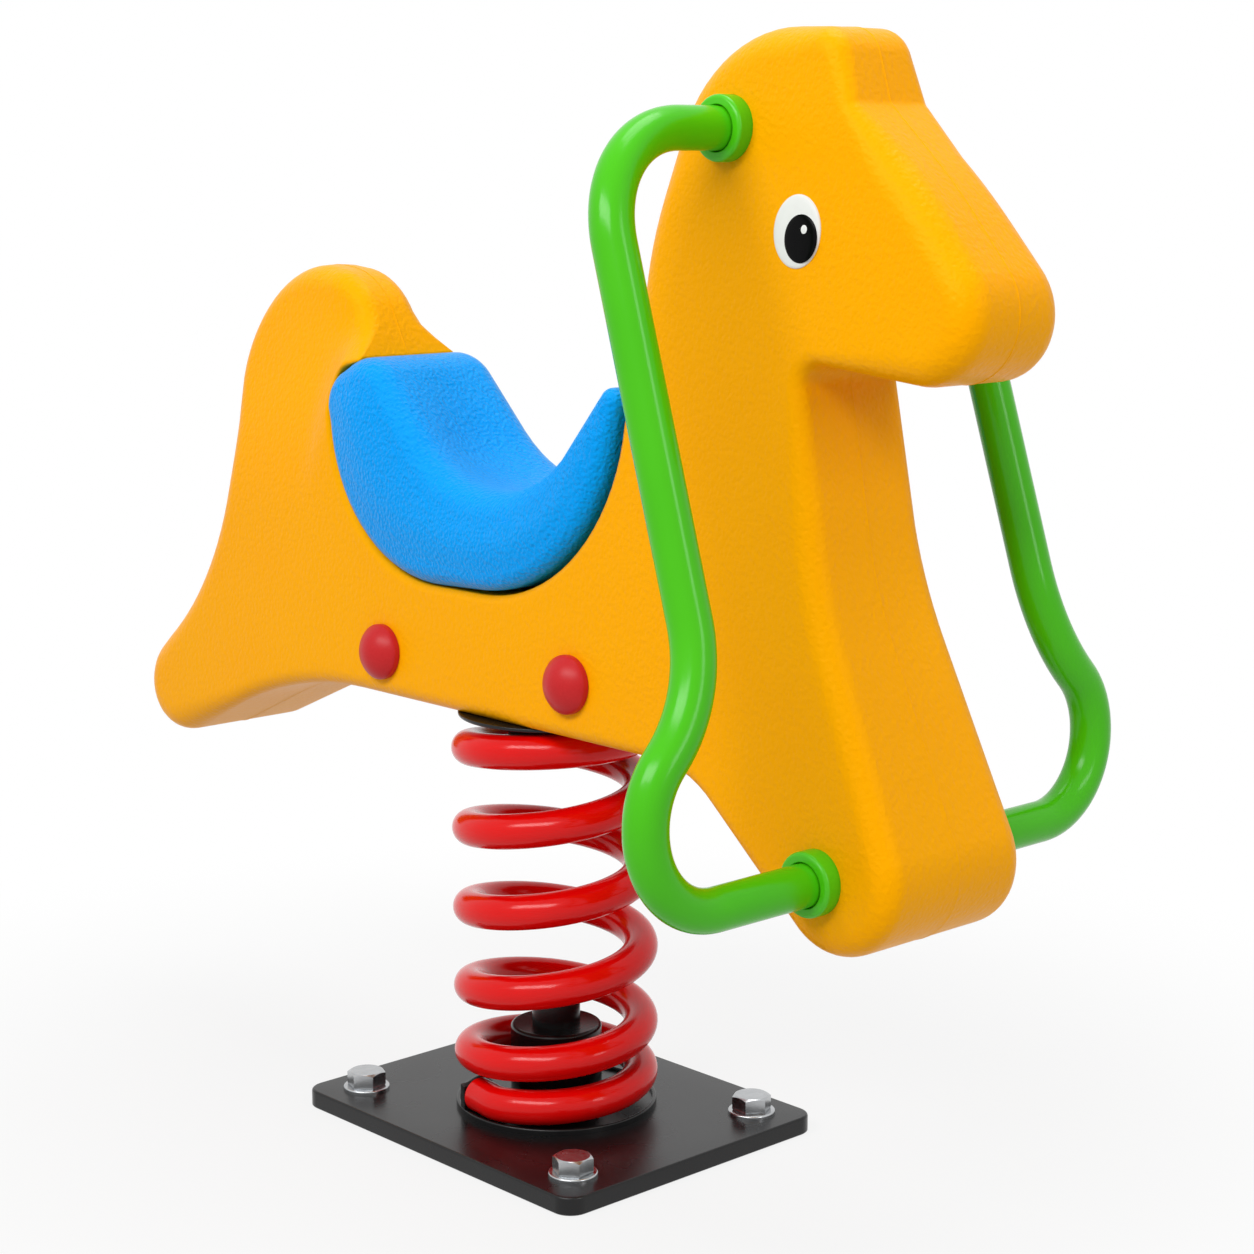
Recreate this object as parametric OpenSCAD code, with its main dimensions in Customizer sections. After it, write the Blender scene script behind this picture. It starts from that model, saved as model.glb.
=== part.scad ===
// Spring rider: a moulded animal body on one coil spring, with a saddle, two rails and a bolted base plate.
// Millimetres. +X is forward, +Y is the animal's left and +Z is up.
// The origin is the centre of the base plate's underside.

/* [Base plate] */
// Length of the base plate, front to back
plate_len = 322; // [270:1:420]
// Width of the base plate, side to side
plate_wid = 260; // [230:1:360]
// Thickness of the base plate
plate_thick = 14; // [8:1:24]
// Corner radius of the base plate
plate_corner_r = 16; // [6:1:40]
// Distance of each anchor bolt from the two nearest edges of the plate
anchor_inset = 36; // [28:1:46]

/* [Anchor bolts] */
// Shank diameter of an anchor bolt
anchor_d = 16; // [10:1:20]
// Width of the hexagon head across its flats
anchor_af = 27; // [24:1:30]
// Height of the hexagon head
anchor_head_h = 12; // [8:1:16]
// Diameter of an anchor washer
anchor_washer_d = 37; // [34:1:44]
// Thickness of an anchor washer
anchor_washer_t = 3; // [2:0.5:5]

/* [Spring] */
// Diameter of the spring wire
wire_d = 27; // [24:1:30]
// Radius of the coil, to the middle of the wire
coil_r = 67; // [62:0.5:75]
// Number of turns, from one wire end to the other
spring_turns = 5.4; // [4.55:0.05:6.05]
// Gap between the turns at the closed bottom end
closed_gap = 0.8; // [0.6:0.1:3]

/* [Spring seats] */
// Floor thickness of the cup under the spring
cup_floor_t = 2; // [1.5:0.5:6]
// Floor thickness of the plate over the spring
head_floor_t = 3; // [2:0.5:8]
// Height of the cup's lip
lip_h = 3; // [2:0.5:7]
// Thickness of that lip
lip_t = 3.2; // [2.5:0.1:6]
// Diameter of the plate over the spring
head_d = 150; // [140:1:170]
// Diameter of the spigots inside the end turns
spigot_d = 72; // [60:1:80]
// Height of the lower spigot
spigot_h = 63; // [30:1:75]
// Height of the upper spigot
upper_spigot_h = 28; // [20:1:40]
// Diameter of the stud on the lower spigot
stud_d = 38; // [20:1:50]
// Height of that stud
stud_h = 28; // [10:1:40]
// Thickness of the blocks that the wire ends stop against
stop_t = 8; // [6:1:12]

/* [Body] */
// Length of the body, tail to nose
body_len = 920; // [880:1:980]
// Height of the body's flat underside above the ground
ride_h = 332; // [300:1:380]
// Width of the body at the bottom of the chest
body_wid_low = 150; // [140:1:170]
// Width of the body at the top of the head
body_wid_top = 76; // [70:1:100]
// How far each flank draws in at the top of the cantle behind the saddle
cantle_pinch = 22; // [0:1:26]

/* [Saddle] */
// Clearance between the saddle and its recess
saddle_gap = 0.4; // [0.3:0.1:1]
// How far the saddle stands out from the body's flanks
saddle_proud = 8; // [2:1:14]
// Depth of the hollow across the saddle's top
saddle_dish = 5; // [0:1:14]

/* [Rails] */
// Diameter of the rail tube
rail_d = 30; // [25:1:34]
// Wall of the rail tube
rail_wall = 2.5; // [2:0.5:4]
// Reach of the rail from the middle of the body, at the head
rail_reach_top = 167; // [150:1:190]
// Reach of the rail at its kink
rail_reach_mid = 172; // [150:1:200]
// Reach of the corner that the rail rounds at the foot rest
rail_reach_low = 310; // [295:1:320]
// Bend radius at the head, to the middle of the tube
rail_bend_top = 79; // [60:1:85]
// Bend radius at the kink
rail_bend_mid = 115; // [90:1:120]
// Bend radius at the foot rest
rail_bend_low = 60; // [50:1:61]
// Diameter of the collars where the rails meet the body
collar_d = 45; // [42:1:52]
// Length of a collar
collar_len = 13; // [10:1:24]
// Diameter of the rods that tie the two rails together through the body
tie_rod_d = 12; // [8:1:14]

/* [Cradle] */
// Width of the steel channel in the body's underside
cradle_wid = 56; // [52:1:64]
// Height of that channel
cradle_h = 62; // [56:1:66]
// Thickness of its steel
cradle_t = 6; // [4:1:8]
// Place of the rear through bolt, from the spring's axis
bolt_rear_x = -130; // [-150:1:-110]
// Place of the front through bolt
bolt_front_x = 91; // [80:1:110]
// Height of the rear through bolt above the body's underside
bolt_rear_rise = 36; // [34:1:44]
// Height of the front through bolt above the body's underside
bolt_front_rise = 42; // [34:1:44]
// Diameter of the through bolts
cross_d = 12; // [8:1:14]
// Diameter of the domed caps over the through bolts
cap_d = 44; // [42:1:52]
// Height of those caps
cap_h = 17; // [6:1:20]

/* [Eyes] */
// Width of the white of an eye
eye_wid = 42; // [34:1:50]
// Height of the white of an eye
eye_h = 48.5; // [38:0.5:58]
// Width of a pupil
pupil_wid = 29; // [18:1:32]
// Height of a pupil
pupil_h = 32; // [20:1:34]

/* [Hidden] */
$fn = 96;

// Clearances and the overrun of every cut
overrun = 1;
seat_gap = 0.1;
hole_clear = 0.5;
pocket_clear = 0.3;

// Spring seats, the wire's ends and the coil's rise
lip_clear = 0.8;
lip_in_r = coil_r + sqrt(lip_h * (wire_d - lip_h)) + lip_clear;
cup_r = lip_in_r + lip_t;
spring_low_z = plate_thick + cup_floor_t + seat_gap + wire_d / 2;
spring_top_z = ride_h - head_floor_t - seat_gap - wire_d / 2;
coil_start = 252;
end_turn = asin(wire_d / 2 / coil_r) / 180;
coil_turns = spring_turns - 2 * end_turn;
closed_pitch = (wire_d + closed_gap) / (1 - end_turn);
closed_turns = 0.42;
opening_turns = 1.8;
closing_turns = 0.4;
closed_part = (closed_turns + opening_turns) / 2;
open_pitch = (spring_top_z - spring_low_z - closed_pitch * closed_part)
    / (coil_turns - closing_turns / 2 - closed_part);
rings_a_turn = 24;
wire_sides = 14;
stop_h_share = 0.8;
spigot_bevel = 2;
head_bevel = 1.5;

// Screws that hold the upper plate to the cradle
head_screw_d = 10;
head_screw_head_d = 16;
head_screw_head_h = 10;
head_screw_r = spigot_d / 2 - head_screw_head_d / 2 - overrun * 4;
head_screw_turns = [25, 155, 205, 335];
head_nut_af = 16;
head_nut_h = 8;

// Through bolts, their washers and nuts, and the wells under the caps
cross_bolts = [[bolt_rear_x, ride_h + bolt_rear_rise], [bolt_front_x, ride_h + bolt_front_rise]];
cradle_end = 32;
cross_af = 19;
cross_head_h = 7.5;
cross_nut_h = 10;
cross_washer_d = 30;
cross_washer_t = 2.5;
well_d = 38;
well_depth = 16;
cap_skirt = 5;
cap_skirt_t = 3;
cap_rim_share = 0.3;
cap_dome_h = cap_h * (1 - cap_rim_share);
cap_ball_r = (cap_d * cap_d / 4 + cap_dome_h * cap_dome_h) / (2 * cap_dome_h);

// Saddle screws, from the cradle's pocket up into the saddle
saddle_screw_xs = [-95, -45];
saddle_screw_d = 8;
saddle_screw_head_d = 16;
saddle_screw_head_h = 5;
saddle_screw_bite = 15;

// Rail ends, and how far a run of tube reaches into a bend that is a trace thicker
collar_edge_r = 3;
bend_lap = 2;
bend_swell = 0.2;
plug_len = 30;
tie_bite = 24;

// Eyes
eye_t = 2.4;
pupil_t = 1;

// Places on the body as shares of its length: forward of the spring's axis, then above the body's underside
rail_top_share = [0.248, 0.478];
rail_kink_share = [0.369, 0.092];
rail_low_share = [0.374, -0.0585];
eye_share = [0.322, 0.405];
pupil_shift_share = [0.0055, -0.005];

// Circles that the body's outline runs round: forward, up, radius and edge radius, as shares of the body's length.
// A hollow has a negative radius. The two beside the underside hang from it by their own radius.
tail_tip_share = [-0.468, -0.036, 0.047, 0.02];
tail_root_share = [-0.178, -0.45, -0.45, 0.012];
chest_root_share = [0.194, -0.101, -0.101, 0.009];
chest_tip_share = [0.385, -0.056, 0.058, 0.014];
neck_front_share = [0.703, 0.252, -0.359, 0.012];
jaw_corner_share = [0.344, 0.2965, -0.014, 0.011];
muzzle_share = [0.435, 0.35, 0.05, 0.018];
brow_share = [0.072, 0.098, 0.49, 0.016];
forelock_foot_share = [0.373, 0.5004, -0.01, 0.01];
forelock_share = [0.34, 0.534, 0.0145, 0.012];
head_top_share = [0.29, 0.441, 0.109, 0.02];
neck_back_share = [0.423, 0.336, 0.27, 0.018];
recess_front_share = [-0.018, 0.268, -0.165, 0.008];
recess_rear_share = [-0.078, 0.254, -0.151, 0.009];
recess_corner_share = [-0.204, 0.244, -0.028, 0.008];
lip_share = [-0.2005, 0.2858, 0.0085, 0.0065];
cantle_front_share = [-0.273, 0.293, 0.068, 0.014];
cantle_back_share = [-0.288, 0.261, 0.102, 0.014];
back_share = [-0.648, 0.212, -0.259, 0.02];
body_shares = [
    tail_tip_share, tail_root_share, chest_root_share, chest_tip_share, neck_front_share, jaw_corner_share,
    muzzle_share, brow_share, forelock_foot_share, forelock_share, head_top_share, neck_back_share,
    recess_front_share, recess_rear_share, recess_corner_share, lip_share, cantle_front_share,
    cantle_back_share, back_share
];

// Where the flanks draw in behind the saddle, away from it and beside it: forward, then where that starts and ends
pinch_rear_share = [-0.27, 0.15, 0.361];
pinch_front_share = [-0.21, 0.279, 0.303];

// The saddle's own circles. Its underside follows the recess.
saddle_front_share = [-0.021, 0.2695, 0.16, 0.015];
horn_tip_share = [0.136, 0.276, 0.009, 0.0075];
saddle_dip_share = [-0.013, 0.308, -0.125, 0.024];
saddle_corner_share = [-0.209, 0.24, 0.0212, 0.016];
saddle_rear_share = [-0.1715, 0.26, 0.028, 0.023];
saddle_edge_share = 0.024;
arc_step = 9;
cap_reach = body_len / 60;

// Lean of the flanks, between the bottom of the chest and the top of the head
low_z = ride_h + (chest_tip_share[1] - chest_tip_share[2]) * body_len;
top_z = ride_h + (head_top_share[1] + head_top_share[2]) * body_len;
flank_lean = atan((body_wid_low - body_wid_top) / 2 / (top_z - low_z));

function half_wid(z) = (body_wid_low + (body_wid_top - body_wid_low) * (z - low_z) / (top_z - low_z)) / 2;
function ease(t) = t * t * (3 - 2 * t);
function within(x, low, high) = max(0, min(1, (x - low) / (high - low)));
function on_body(s) = [s[0] * body_len, ride_h + s[1] * body_len];
function drawn_in(x, z) =
    let (
        near = ease(within(x, pinch_rear_share[0] * body_len, pinch_front_share[0] * body_len)),
        rise = (pinch_rear_share + (pinch_front_share - pinch_rear_share) * near) * body_len
    )
    x > 0 ? 0 : cantle_pinch * ease(within(z - ride_h, rise[1], rise[2]));
function circle_of(s, dish = 0) = concat(on_body(s), [s[2] * body_len, s[3] * body_len, dish]);
function filling(s, edge_share) = concat(on_body(s), [-s[2] * body_len - saddle_gap, edge_share * body_len, 0]);

// An outline that runs round circles like a belt, anticlockwise seen from the animal's right.
// Each point holds its place, its outward normal, its edge radius and its dish.
function whole_turn(t) = t - 360 * floor(t / 360);
function heading(a, b) =
    atan2(b[1] - a[1], b[0] - a[0]) - asin((b[2] - a[2]) / norm([b[0] - a[0], b[1] - a[1]]));
function arc_turn(r, from, to) = r > 0 ? whole_turn(to - from) : -whole_turn(from - to);
function belt(circles) = [
    for (i = [0 : len(circles) - 1])
        let (
            c = circles[i],
            from = heading(circles[(i + len(circles) - 1) % len(circles)], c),
            swing = arc_turn(c[2], from, heading(c, circles[(i + 1) % len(circles)])),
            steps = max(1, ceil(abs(swing) / arc_step))
        )
        for (j = [0 : steps])
            let (t = from + swing * j / steps)
            [c[0] + c[2] * sin(t), c[1] - c[2] * cos(t), sin(t), -cos(t), c[3], c[4]]
];

// One ring of a moulding: its rounded edge at an angle from the flank, or its dish between the two edges
function edge_ring(outline, side, angle, proud, pinch) = [
    for (p = outline)
        let (
            inset = p[4] * (1 - sin(angle)),
            z = p[1] - p[3] * inset,
            out = half_wid(z) + proud - pinch * drawn_in(p[0], p[1])
        )
        [p[0] - p[2] * inset, side * (out - p[4] * (1 - cos(angle))), z]
];
function dish_ring(outline, share, proud) = [
    for (p = outline)
        let (hollow = 1 - share * share, inset = p[5] * hollow * hollow, z = p[1] - p[3] * inset)
        [p[0] - p[2] * inset, share * (half_wid(z) + proud - p[4]), z]
];

// Triangles that fill an outline, cut off one convex corner at a time, the ones with a short far side first
function area2(a, b, c) = (b[0] - a[0]) * (c[1] - a[1]) - (b[1] - a[1]) * (c[0] - a[0]);
function holds(a, b, c, p) = area2(a, b, p) >= 0 && area2(b, c, p) >= 0 && area2(c, a, p) >= 0;
function is_ear(pts, left, k) =
    let (n = len(left), i = left[(k + n - 1) % n], j = left[k], m = left[(k + 1) % n])
    area2(pts[i], pts[j], pts[m]) > 0
    && len([for (q = left) if (q != i && q != j && q != m && holds(pts[i], pts[j], pts[m], pts[q])) q]) == 0;
function far_side(pts, left, k) = norm(pts[left[(k + len(left) - 1) % len(left)]] - pts[left[(k + 1) % len(left)]]);
function without(list, k) = [for (i = [0 : len(list) - 1]) if (i != k) list[i]];
function cap_faces(pts, left, k, reach, misses = 0, done = []) =
    len(left) == 3 ? concat(done, [left]) :
    misses > len(left) ? cap_faces(pts, left, k, reach * 1.25, 0, done) :
    let (n = len(left), e = k % n)
    far_side(pts, left, e) > reach || !is_ear(pts, left, e) ?
        cap_faces(pts, left, e + 1, reach, misses + 1, done) :
        cap_faces(pts, without(left, e), e + 1, reach, 0,
            concat(done, [[left[(e + n - 1) % n], left[e], left[(e + 1) % n]]]));

// A closed skin over rings that run from one flank to the other
module moulding(rings) {
    n = len(rings[0]);
    last = (len(rings) - 1) * n;
    cap = cap_faces([for (p = rings[0]) [p[0], p[2]]], [for (i = [0 : n - 1]) i], 0, cap_reach);
    walls = [
        for (k = [0 : len(rings) - 2])
            for (i = [0 : n - 1])
                let (a = k * n + i, b = k * n + (i + 1) % n)
                each [[a, b, b + n], [a, b + n, a + n]]
    ];
    polyhedron(
        points = [for (ring = rings) each ring],
        faces = concat(
            [for (f = cap) [f[2], f[1], f[0]]],
            walls,
            [for (f = cap) [last + f[0], last + f[1], last + f[2]]]
        )
    );
}

// Repeats and placing
module both_sides() {
    children();
    mirror([0, 1, 0]) children();
}
module on_flank(x, z) {
    translate([x, -half_wid(z), z]) rotate([90 - flank_lean, 0, 0]) children();
}
module at_anchors() {
    for (x = [-1, 1])
        for (y = [-1, 1])
            translate([x * (plate_len / 2 - anchor_inset), y * (plate_wid / 2 - anchor_inset), 0]) children();
}
module at_head_screws() {
    for (turn = head_screw_turns)
        rotate([0, 0, turn]) translate([head_screw_r, 0, 0]) children();
}
module at_cross_bolts() {
    for (p = cross_bolts)
        translate([p[0], 0, p[1]]) rotate([90, 0, 0]) children();
}
module hexagon(af, h) {
    cylinder(h = h, d = af / cos(30), $fn = 6);
}
module washer(d, bore, t) {
    difference() {
        cylinder(h = t, d = d);
        translate([0, 0, -overrun]) cylinder(h = t + 2 * overrun, d = bore);
    }
}

// The spring's wire: straight end runs square to their stops, a closed bottom turn and open turns above it
function unit(v) = v / norm(v);
function climb(t) =
    let (
        shut = min(t, closed_turns),
        opening = max(0, min(t, opening_turns) - closed_turns),
        open = max(0, min(t, coil_turns - closing_turns) - opening_turns),
        closing = max(0, t - coil_turns + closing_turns)
    )
    closed_pitch * (shut + opening)
    + (open_pitch - closed_pitch) * opening * opening / 2 / (opening_turns - closed_turns)
    + open_pitch * (open + closing - closing * closing / 2 / closing_turns);
function wire_at(t) =
    let (a = coil_start + 360 * t)
    [coil_r * cos(a), coil_r * sin(a), spring_low_z + climb(max(0, min(coil_turns, t - end_turn)))];
wire_rings = ceil(coil_turns * rings_a_turn);
wire_turns = concat(
    [0],
    [for (i = [0 : wire_rings]) end_turn + coil_turns * i / wire_rings],
    [spring_turns]
);
wire_path = [for (t = wire_turns) wire_at(t)];
function wire_run(i) = unit(wire_path[min(len(wire_path) - 1, i + 1)] - wire_path[max(0, i - 1)]);
function wire_ring(i) =
    let (
        p = wire_path[i],
        along = wire_run(i),
        flat = unit([p[0], p[1], 0]),
        out = unit(flat - along * (flat * along)),
        over = cross(along, out)
    )
    [for (k = [0 : wire_sides - 1])
        let (a = 360 * k / wire_sides) p + (out * cos(a) + over * sin(a)) * wire_d / 2];
least_coil_gap = min([
    for (i = [0 : len(wire_path) - 1])
        for (j = [i + 1 : 1 : len(wire_path) - 1])
            if (wire_turns[j] - wire_turns[i] > 1 / 2) norm(wire_path[i] - wire_path[j]) - wire_d
]);
echo(least_gap_between_turns_mm = least_coil_gap);

// A block square to a wire end, trimmed round at the rim of its seat
module end_stop(tip, inner, low, high, rim_r) {
    run = unit(tip - inner);
    intersection() {
        translate([tip[0], tip[1], low])
            rotate([0, 0, atan2(run[1], run[0])])
                translate([seat_gap, -wire_d / 2, 0]) cube([stop_t, wire_d, high - low]);
        translate([0, 0, low]) cylinder(h = high - low, r = rim_r);
    }
}
module spigot(d, h, bevel) {
    rotate_extrude() polygon([[0, 0], [d / 2, 0], [d / 2, h - bevel], [d / 2 - bevel, h], [0, h]]);
}

// Base
module base_plate() {
    flat_len = plate_len - 2 * plate_corner_r;
    flat_wid = plate_wid - 2 * plate_corner_r;
    color("#1c1c1e") difference() {
        union() {
            translate([-plate_len / 2, -flat_wid / 2, 0]) cube([plate_len, flat_wid, plate_thick]);
            translate([-flat_len / 2, -plate_wid / 2, 0]) cube([flat_len, plate_wid, plate_thick]);
            for (x = [-1, 1])
                for (y = [-1, 1])
                    translate([x * flat_len / 2, y * flat_wid / 2, 0]) cylinder(h = plate_thick, r = plate_corner_r);
        }
        at_anchors() translate([0, 0, -overrun])
            cylinder(h = plate_thick + 2 * overrun, d = anchor_d + 2 * hole_clear);
    }
}
module anchor_bolts() {
    color("#c4c6c8") at_anchors() {
        cylinder(h = plate_thick + anchor_washer_t, d = anchor_d);
        translate([0, 0, plate_thick + anchor_washer_t]) hexagon(anchor_af, anchor_head_h);
    }
}
module anchor_washers() {
    color("#b8babc") at_anchors() translate([0, 0, plate_thick])
        washer(anchor_washer_d, anchor_d + 2 * hole_clear, anchor_washer_t);
}
module lower_cup() {
    color("#1c1c1e") translate([0, 0, plate_thick]) rotate_extrude() polygon([
        [0, 0], [cup_r, 0], [cup_r, cup_floor_t + lip_h], [lip_in_r, cup_floor_t + lip_h],
        [lip_in_r, cup_floor_t], [0, cup_floor_t]
    ]);
}
module lower_spigot() {
    color("#1c1c1e") translate([0, 0, plate_thick + cup_floor_t]) spigot(spigot_d, spigot_h, spigot_bevel);
}
module spigot_stud() {
    color("#26262a") translate([0, 0, plate_thick + cup_floor_t + spigot_h])
        spigot(stud_d, stud_h, spigot_bevel);
}
module lower_end_stop() {
    low = plate_thick + cup_floor_t;
    high = low + wire_d * stop_h_share;
    color("#1c1c1e") {
        end_stop(wire_at(0), wire_at(end_turn), low, high, lip_in_r);
        end_stop(wire_at(0), wire_at(end_turn), low + lip_h + seat_gap, high, cup_r);
    }
}

// Spring
module spring() {
    last = (len(wire_path) - 1) * wire_sides;
    color("#d8120c") polyhedron(
        points = [for (i = [0 : len(wire_path) - 1]) each wire_ring(i)],
        faces = concat(
            [for (k = [1 : wire_sides - 2]) [0, k, k + 1]],
            [for (i = [0 : len(wire_path) - 2])
                for (k = [0 : wire_sides - 1])
                    let (a = i * wire_sides + k, b = i * wire_sides + (k + 1) % wire_sides)
                    each [[a, a + wire_sides, b + wire_sides], [a, b + wire_sides, b]]],
            [for (k = [1 : wire_sides - 2]) [last, last + k + 1, last + k]]
        )
    );
}

// Upper spring seat and the cradle that carries the body
module head_plate() {
    color("#1c1c1e") difference() {
        translate([0, 0, ride_h]) mirror([0, 0, 1]) spigot(head_d, head_floor_t, head_bevel);
        at_head_screws() translate([0, 0, ride_h - head_floor_t - overrun])
            cylinder(h = head_floor_t + 2 * overrun, d = head_screw_d + 2 * hole_clear);
    }
}
module upper_spigot() {
    low = ride_h - head_floor_t - upper_spigot_h;
    color("#1c1c1e") difference() {
        translate([0, 0, ride_h - head_floor_t]) mirror([0, 0, 1]) spigot(spigot_d, upper_spigot_h, spigot_bevel);
        at_head_screws() translate([0, 0, low - overrun]) {
            cylinder(h = upper_spigot_h + 2 * overrun, d = head_screw_d + 2 * hole_clear);
            cylinder(h = head_screw_head_h + overrun, d = head_screw_head_d + 2 * hole_clear);
        }
    }
}
module upper_end_stop() {
    color("#1c1c1e") end_stop(
        wire_at(spring_turns), wire_at(spring_turns - end_turn),
        spring_top_z - wire_d / 2, ride_h - head_floor_t, head_d / 2 - head_bevel
    );
}
module head_screws() {
    low = ride_h - head_floor_t - upper_spigot_h;
    color("#9a9c9e") at_head_screws() translate([0, 0, low]) {
        cylinder(h = head_screw_head_h, d = head_screw_head_d);
        cylinder(h = upper_spigot_h + head_floor_t + cradle_t + head_nut_h, d = head_screw_d);
    }
}
module head_nuts() {
    color("#9a9c9e") at_head_screws() translate([0, 0, ride_h + cradle_t]) difference() {
        hexagon(head_nut_af, head_nut_h);
        translate([0, 0, -overrun]) cylinder(h = head_nut_h + 2 * overrun, d = head_screw_d + 2 * seat_gap);
    }
}
module cradle() {
    rear = bolt_rear_x - cradle_end;
    run = bolt_front_x - bolt_rear_x + 2 * cradle_end;
    color("#5c5e60") difference() {
        translate([rear, -cradle_wid / 2, ride_h]) cube([run, cradle_wid, cradle_h]);
        translate([rear - overrun, cradle_t - cradle_wid / 2, ride_h + cradle_t])
            cube([run + 2 * overrun, cradle_wid - 2 * cradle_t, cradle_h]);
        at_cross_bolts() translate([0, 0, -cradle_wid / 2 - overrun])
            cylinder(h = cradle_wid + 2 * overrun, d = cross_d + 2 * hole_clear);
        at_head_screws() translate([0, 0, ride_h - overrun])
            cylinder(h = cradle_t + 2 * overrun, d = head_screw_d + 2 * hole_clear);
    }
}
well_y = half_wid(ride_h + max(bolt_rear_rise, bolt_front_rise)) - well_depth;
module cradle_bolts() {
    color("#a8aaac") at_cross_bolts() {
        translate([0, 0, well_y + cross_washer_t]) hexagon(cross_af, cross_head_h);
        translate([0, 0, -well_y - cross_washer_t - cross_nut_h])
            cylinder(h = 2 * (well_y + cross_washer_t) + cross_nut_h, d = cross_d);
    }
}
module cradle_washers() {
    color("#b8babc") both_sides() at_cross_bolts() translate([0, 0, well_y])
        washer(cross_washer_d, cross_d + 2 * hole_clear, cross_washer_t);
}
module cradle_nuts() {
    color("#a8aaac") at_cross_bolts() translate([0, 0, -well_y - cross_washer_t - cross_nut_h]) difference() {
        hexagon(cross_af, cross_nut_h);
        translate([0, 0, -overrun]) cylinder(h = cross_nut_h + 2 * overrun, d = cross_d + 2 * seat_gap);
    }
}
module bolt_caps() {
    skirt_d = well_d - 2 * overrun;
    color("#b81f26") both_sides() for (p = cross_bolts) on_flank(p[0], p[1]) {
        intersection() {
            translate([0, 0, cap_h - cap_ball_r]) sphere(r = cap_ball_r);
            translate([0, 0, seat_gap]) cylinder(h = cap_h, d = cap_d);
        }
        translate([0, 0, -cap_skirt])
            washer(skirt_d, skirt_d - 2 * cap_skirt_t, cap_skirt + cap_skirt_t);
    }
}

// Body
module body_shell() {
    outline = belt([for (s = body_shares) circle_of(s)]);
    steps = [0 : 18 : 90];
    rear = bolt_rear_x - cradle_end - pocket_clear;
    run = bolt_front_x - bolt_rear_x + 2 * (cradle_end + pocket_clear);
    pocket_wid = cradle_wid + 2 * pocket_clear;
    pocket_z = ride_h + cradle_h + pocket_clear;
    color("#ffae00") difference() {
        moulding(concat(
            [for (a = steps) edge_ring(outline, -1, a, 0, 1)],
            [for (a = steps) edge_ring(outline, 1, 90 - a, 0, 1)]
        ));
        translate([rear, -pocket_wid / 2, ride_h - overrun]) cube([run, pocket_wid, pocket_z - ride_h + overrun]);
        at_cross_bolts() translate([0, 0, -body_wid_low])
            cylinder(h = 2 * body_wid_low, d = cross_d + 2 * hole_clear);
        both_sides() at_cross_bolts() translate([0, 0, well_y]) cylinder(h = body_wid_low, d = well_d);
        for (s = [rail_top_share, rail_low_share])
            translate([on_body(s)[0], 0, on_body(s)[1]]) rotate([90, 0, 0])
                cylinder(h = 2 * body_wid_low, d = tie_rod_d + 2 * hole_clear, center = true);
        for (x = saddle_screw_xs)
            translate([x, 0, pocket_z - overrun]) cylinder(h = body_wid_low, d = saddle_screw_d + 2 * hole_clear);
    }
}

// Saddle
saddle_screw_top = ride_h + (recess_rear_share[1] + recess_rear_share[2]) * body_len + saddle_screw_bite;
module saddle() {
    outline = belt([
        circle_of(saddle_rear_share),
        circle_of(saddle_corner_share),
        filling(recess_rear_share, saddle_edge_share),
        circle_of(saddle_front_share),
        circle_of(horn_tip_share),
        circle_of(saddle_dip_share, saddle_dish)
    ]);
    steps = [0 : 18 : 90];
    across_shares = [-0.66, -0.33, 0, 0.33, 0.66];
    color("#0a90f8") difference() {
        moulding(concat(
            [for (a = steps) edge_ring(outline, -1, a, saddle_proud, 0)],
            [for (s = across_shares) dish_ring(outline, s, saddle_proud)],
            [for (a = steps) edge_ring(outline, 1, 90 - a, saddle_proud, 0)]
        ));
        for (x = saddle_screw_xs)
            translate([x, 0, ride_h]) cylinder(h = saddle_screw_top - ride_h + overrun, d = saddle_screw_d + 2 * seat_gap);
    }
}
module saddle_screws() {
    seat_z = ride_h + cradle_h + pocket_clear;
    color("#a8aaac") for (x = saddle_screw_xs) translate([x, 0, seat_z]) {
        cylinder(h = saddle_screw_top - seat_z, d = saddle_screw_d);
        translate([0, 0, -saddle_screw_head_h]) cylinder(h = saddle_screw_head_h, d = saddle_screw_head_d);
    }
}

// Eyes
module oval(wid, high, thick) {
    linear_extrude(height = thick) scale([1, high / wid]) circle(d = wid);
}
module eye_whites() {
    p = on_body(eye_share);
    color("white") both_sides() on_flank(p[0], p[1]) translate([0, 0, seat_gap]) oval(eye_wid, eye_h, eye_t);
}
module eye_pupils() {
    p = on_body(eye_share);
    color("#101012") both_sides() on_flank(p[0], p[1])
        translate(concat(pupil_shift_share * body_len, [seat_gap + eye_t])) oval(pupil_wid, pupil_h, pupil_t);
}

// Rails: a bent tube through five points, from the head out, down and back in to the chest
function rail_end(s) = -half_wid(on_body(s)[1] - rail_d / 2) - seat_gap;
function rail_point(s, reach) = [on_body(s)[0], -reach, on_body(s)[1]];
rail_points = [
    rail_point(rail_top_share, -rail_end(rail_top_share)),
    rail_point(rail_top_share, rail_reach_top),
    rail_point(rail_kink_share, rail_reach_mid),
    rail_point(rail_low_share, rail_reach_low),
    rail_point(rail_low_share, -rail_end(rail_low_share))
];
rail_bends = [0, rail_bend_top, rail_bend_mid, rail_bend_low, 0];
rail_runs = [for (i = [0 : 3]) unit(rail_points[i + 1] - rail_points[i])];
function bend_angle(i) = acos(rail_runs[i - 1] * rail_runs[i]);
function bend_reach(i) = i == 0 || i == 4 ? 0 : rail_bends[i] * tan(bend_angle(i) / 2);
module tube_run(from, to) {
    way = to - from;
    translate(from) rotate([0, acos(way[2] / norm(way)), atan2(way[1], way[0])])
        washer(rail_d, rail_d - 2 * rail_wall, norm(way));
}
function run_start(i) = rail_points[i] + rail_runs[i] * max(0, bend_reach(i) - bend_lap);
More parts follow.
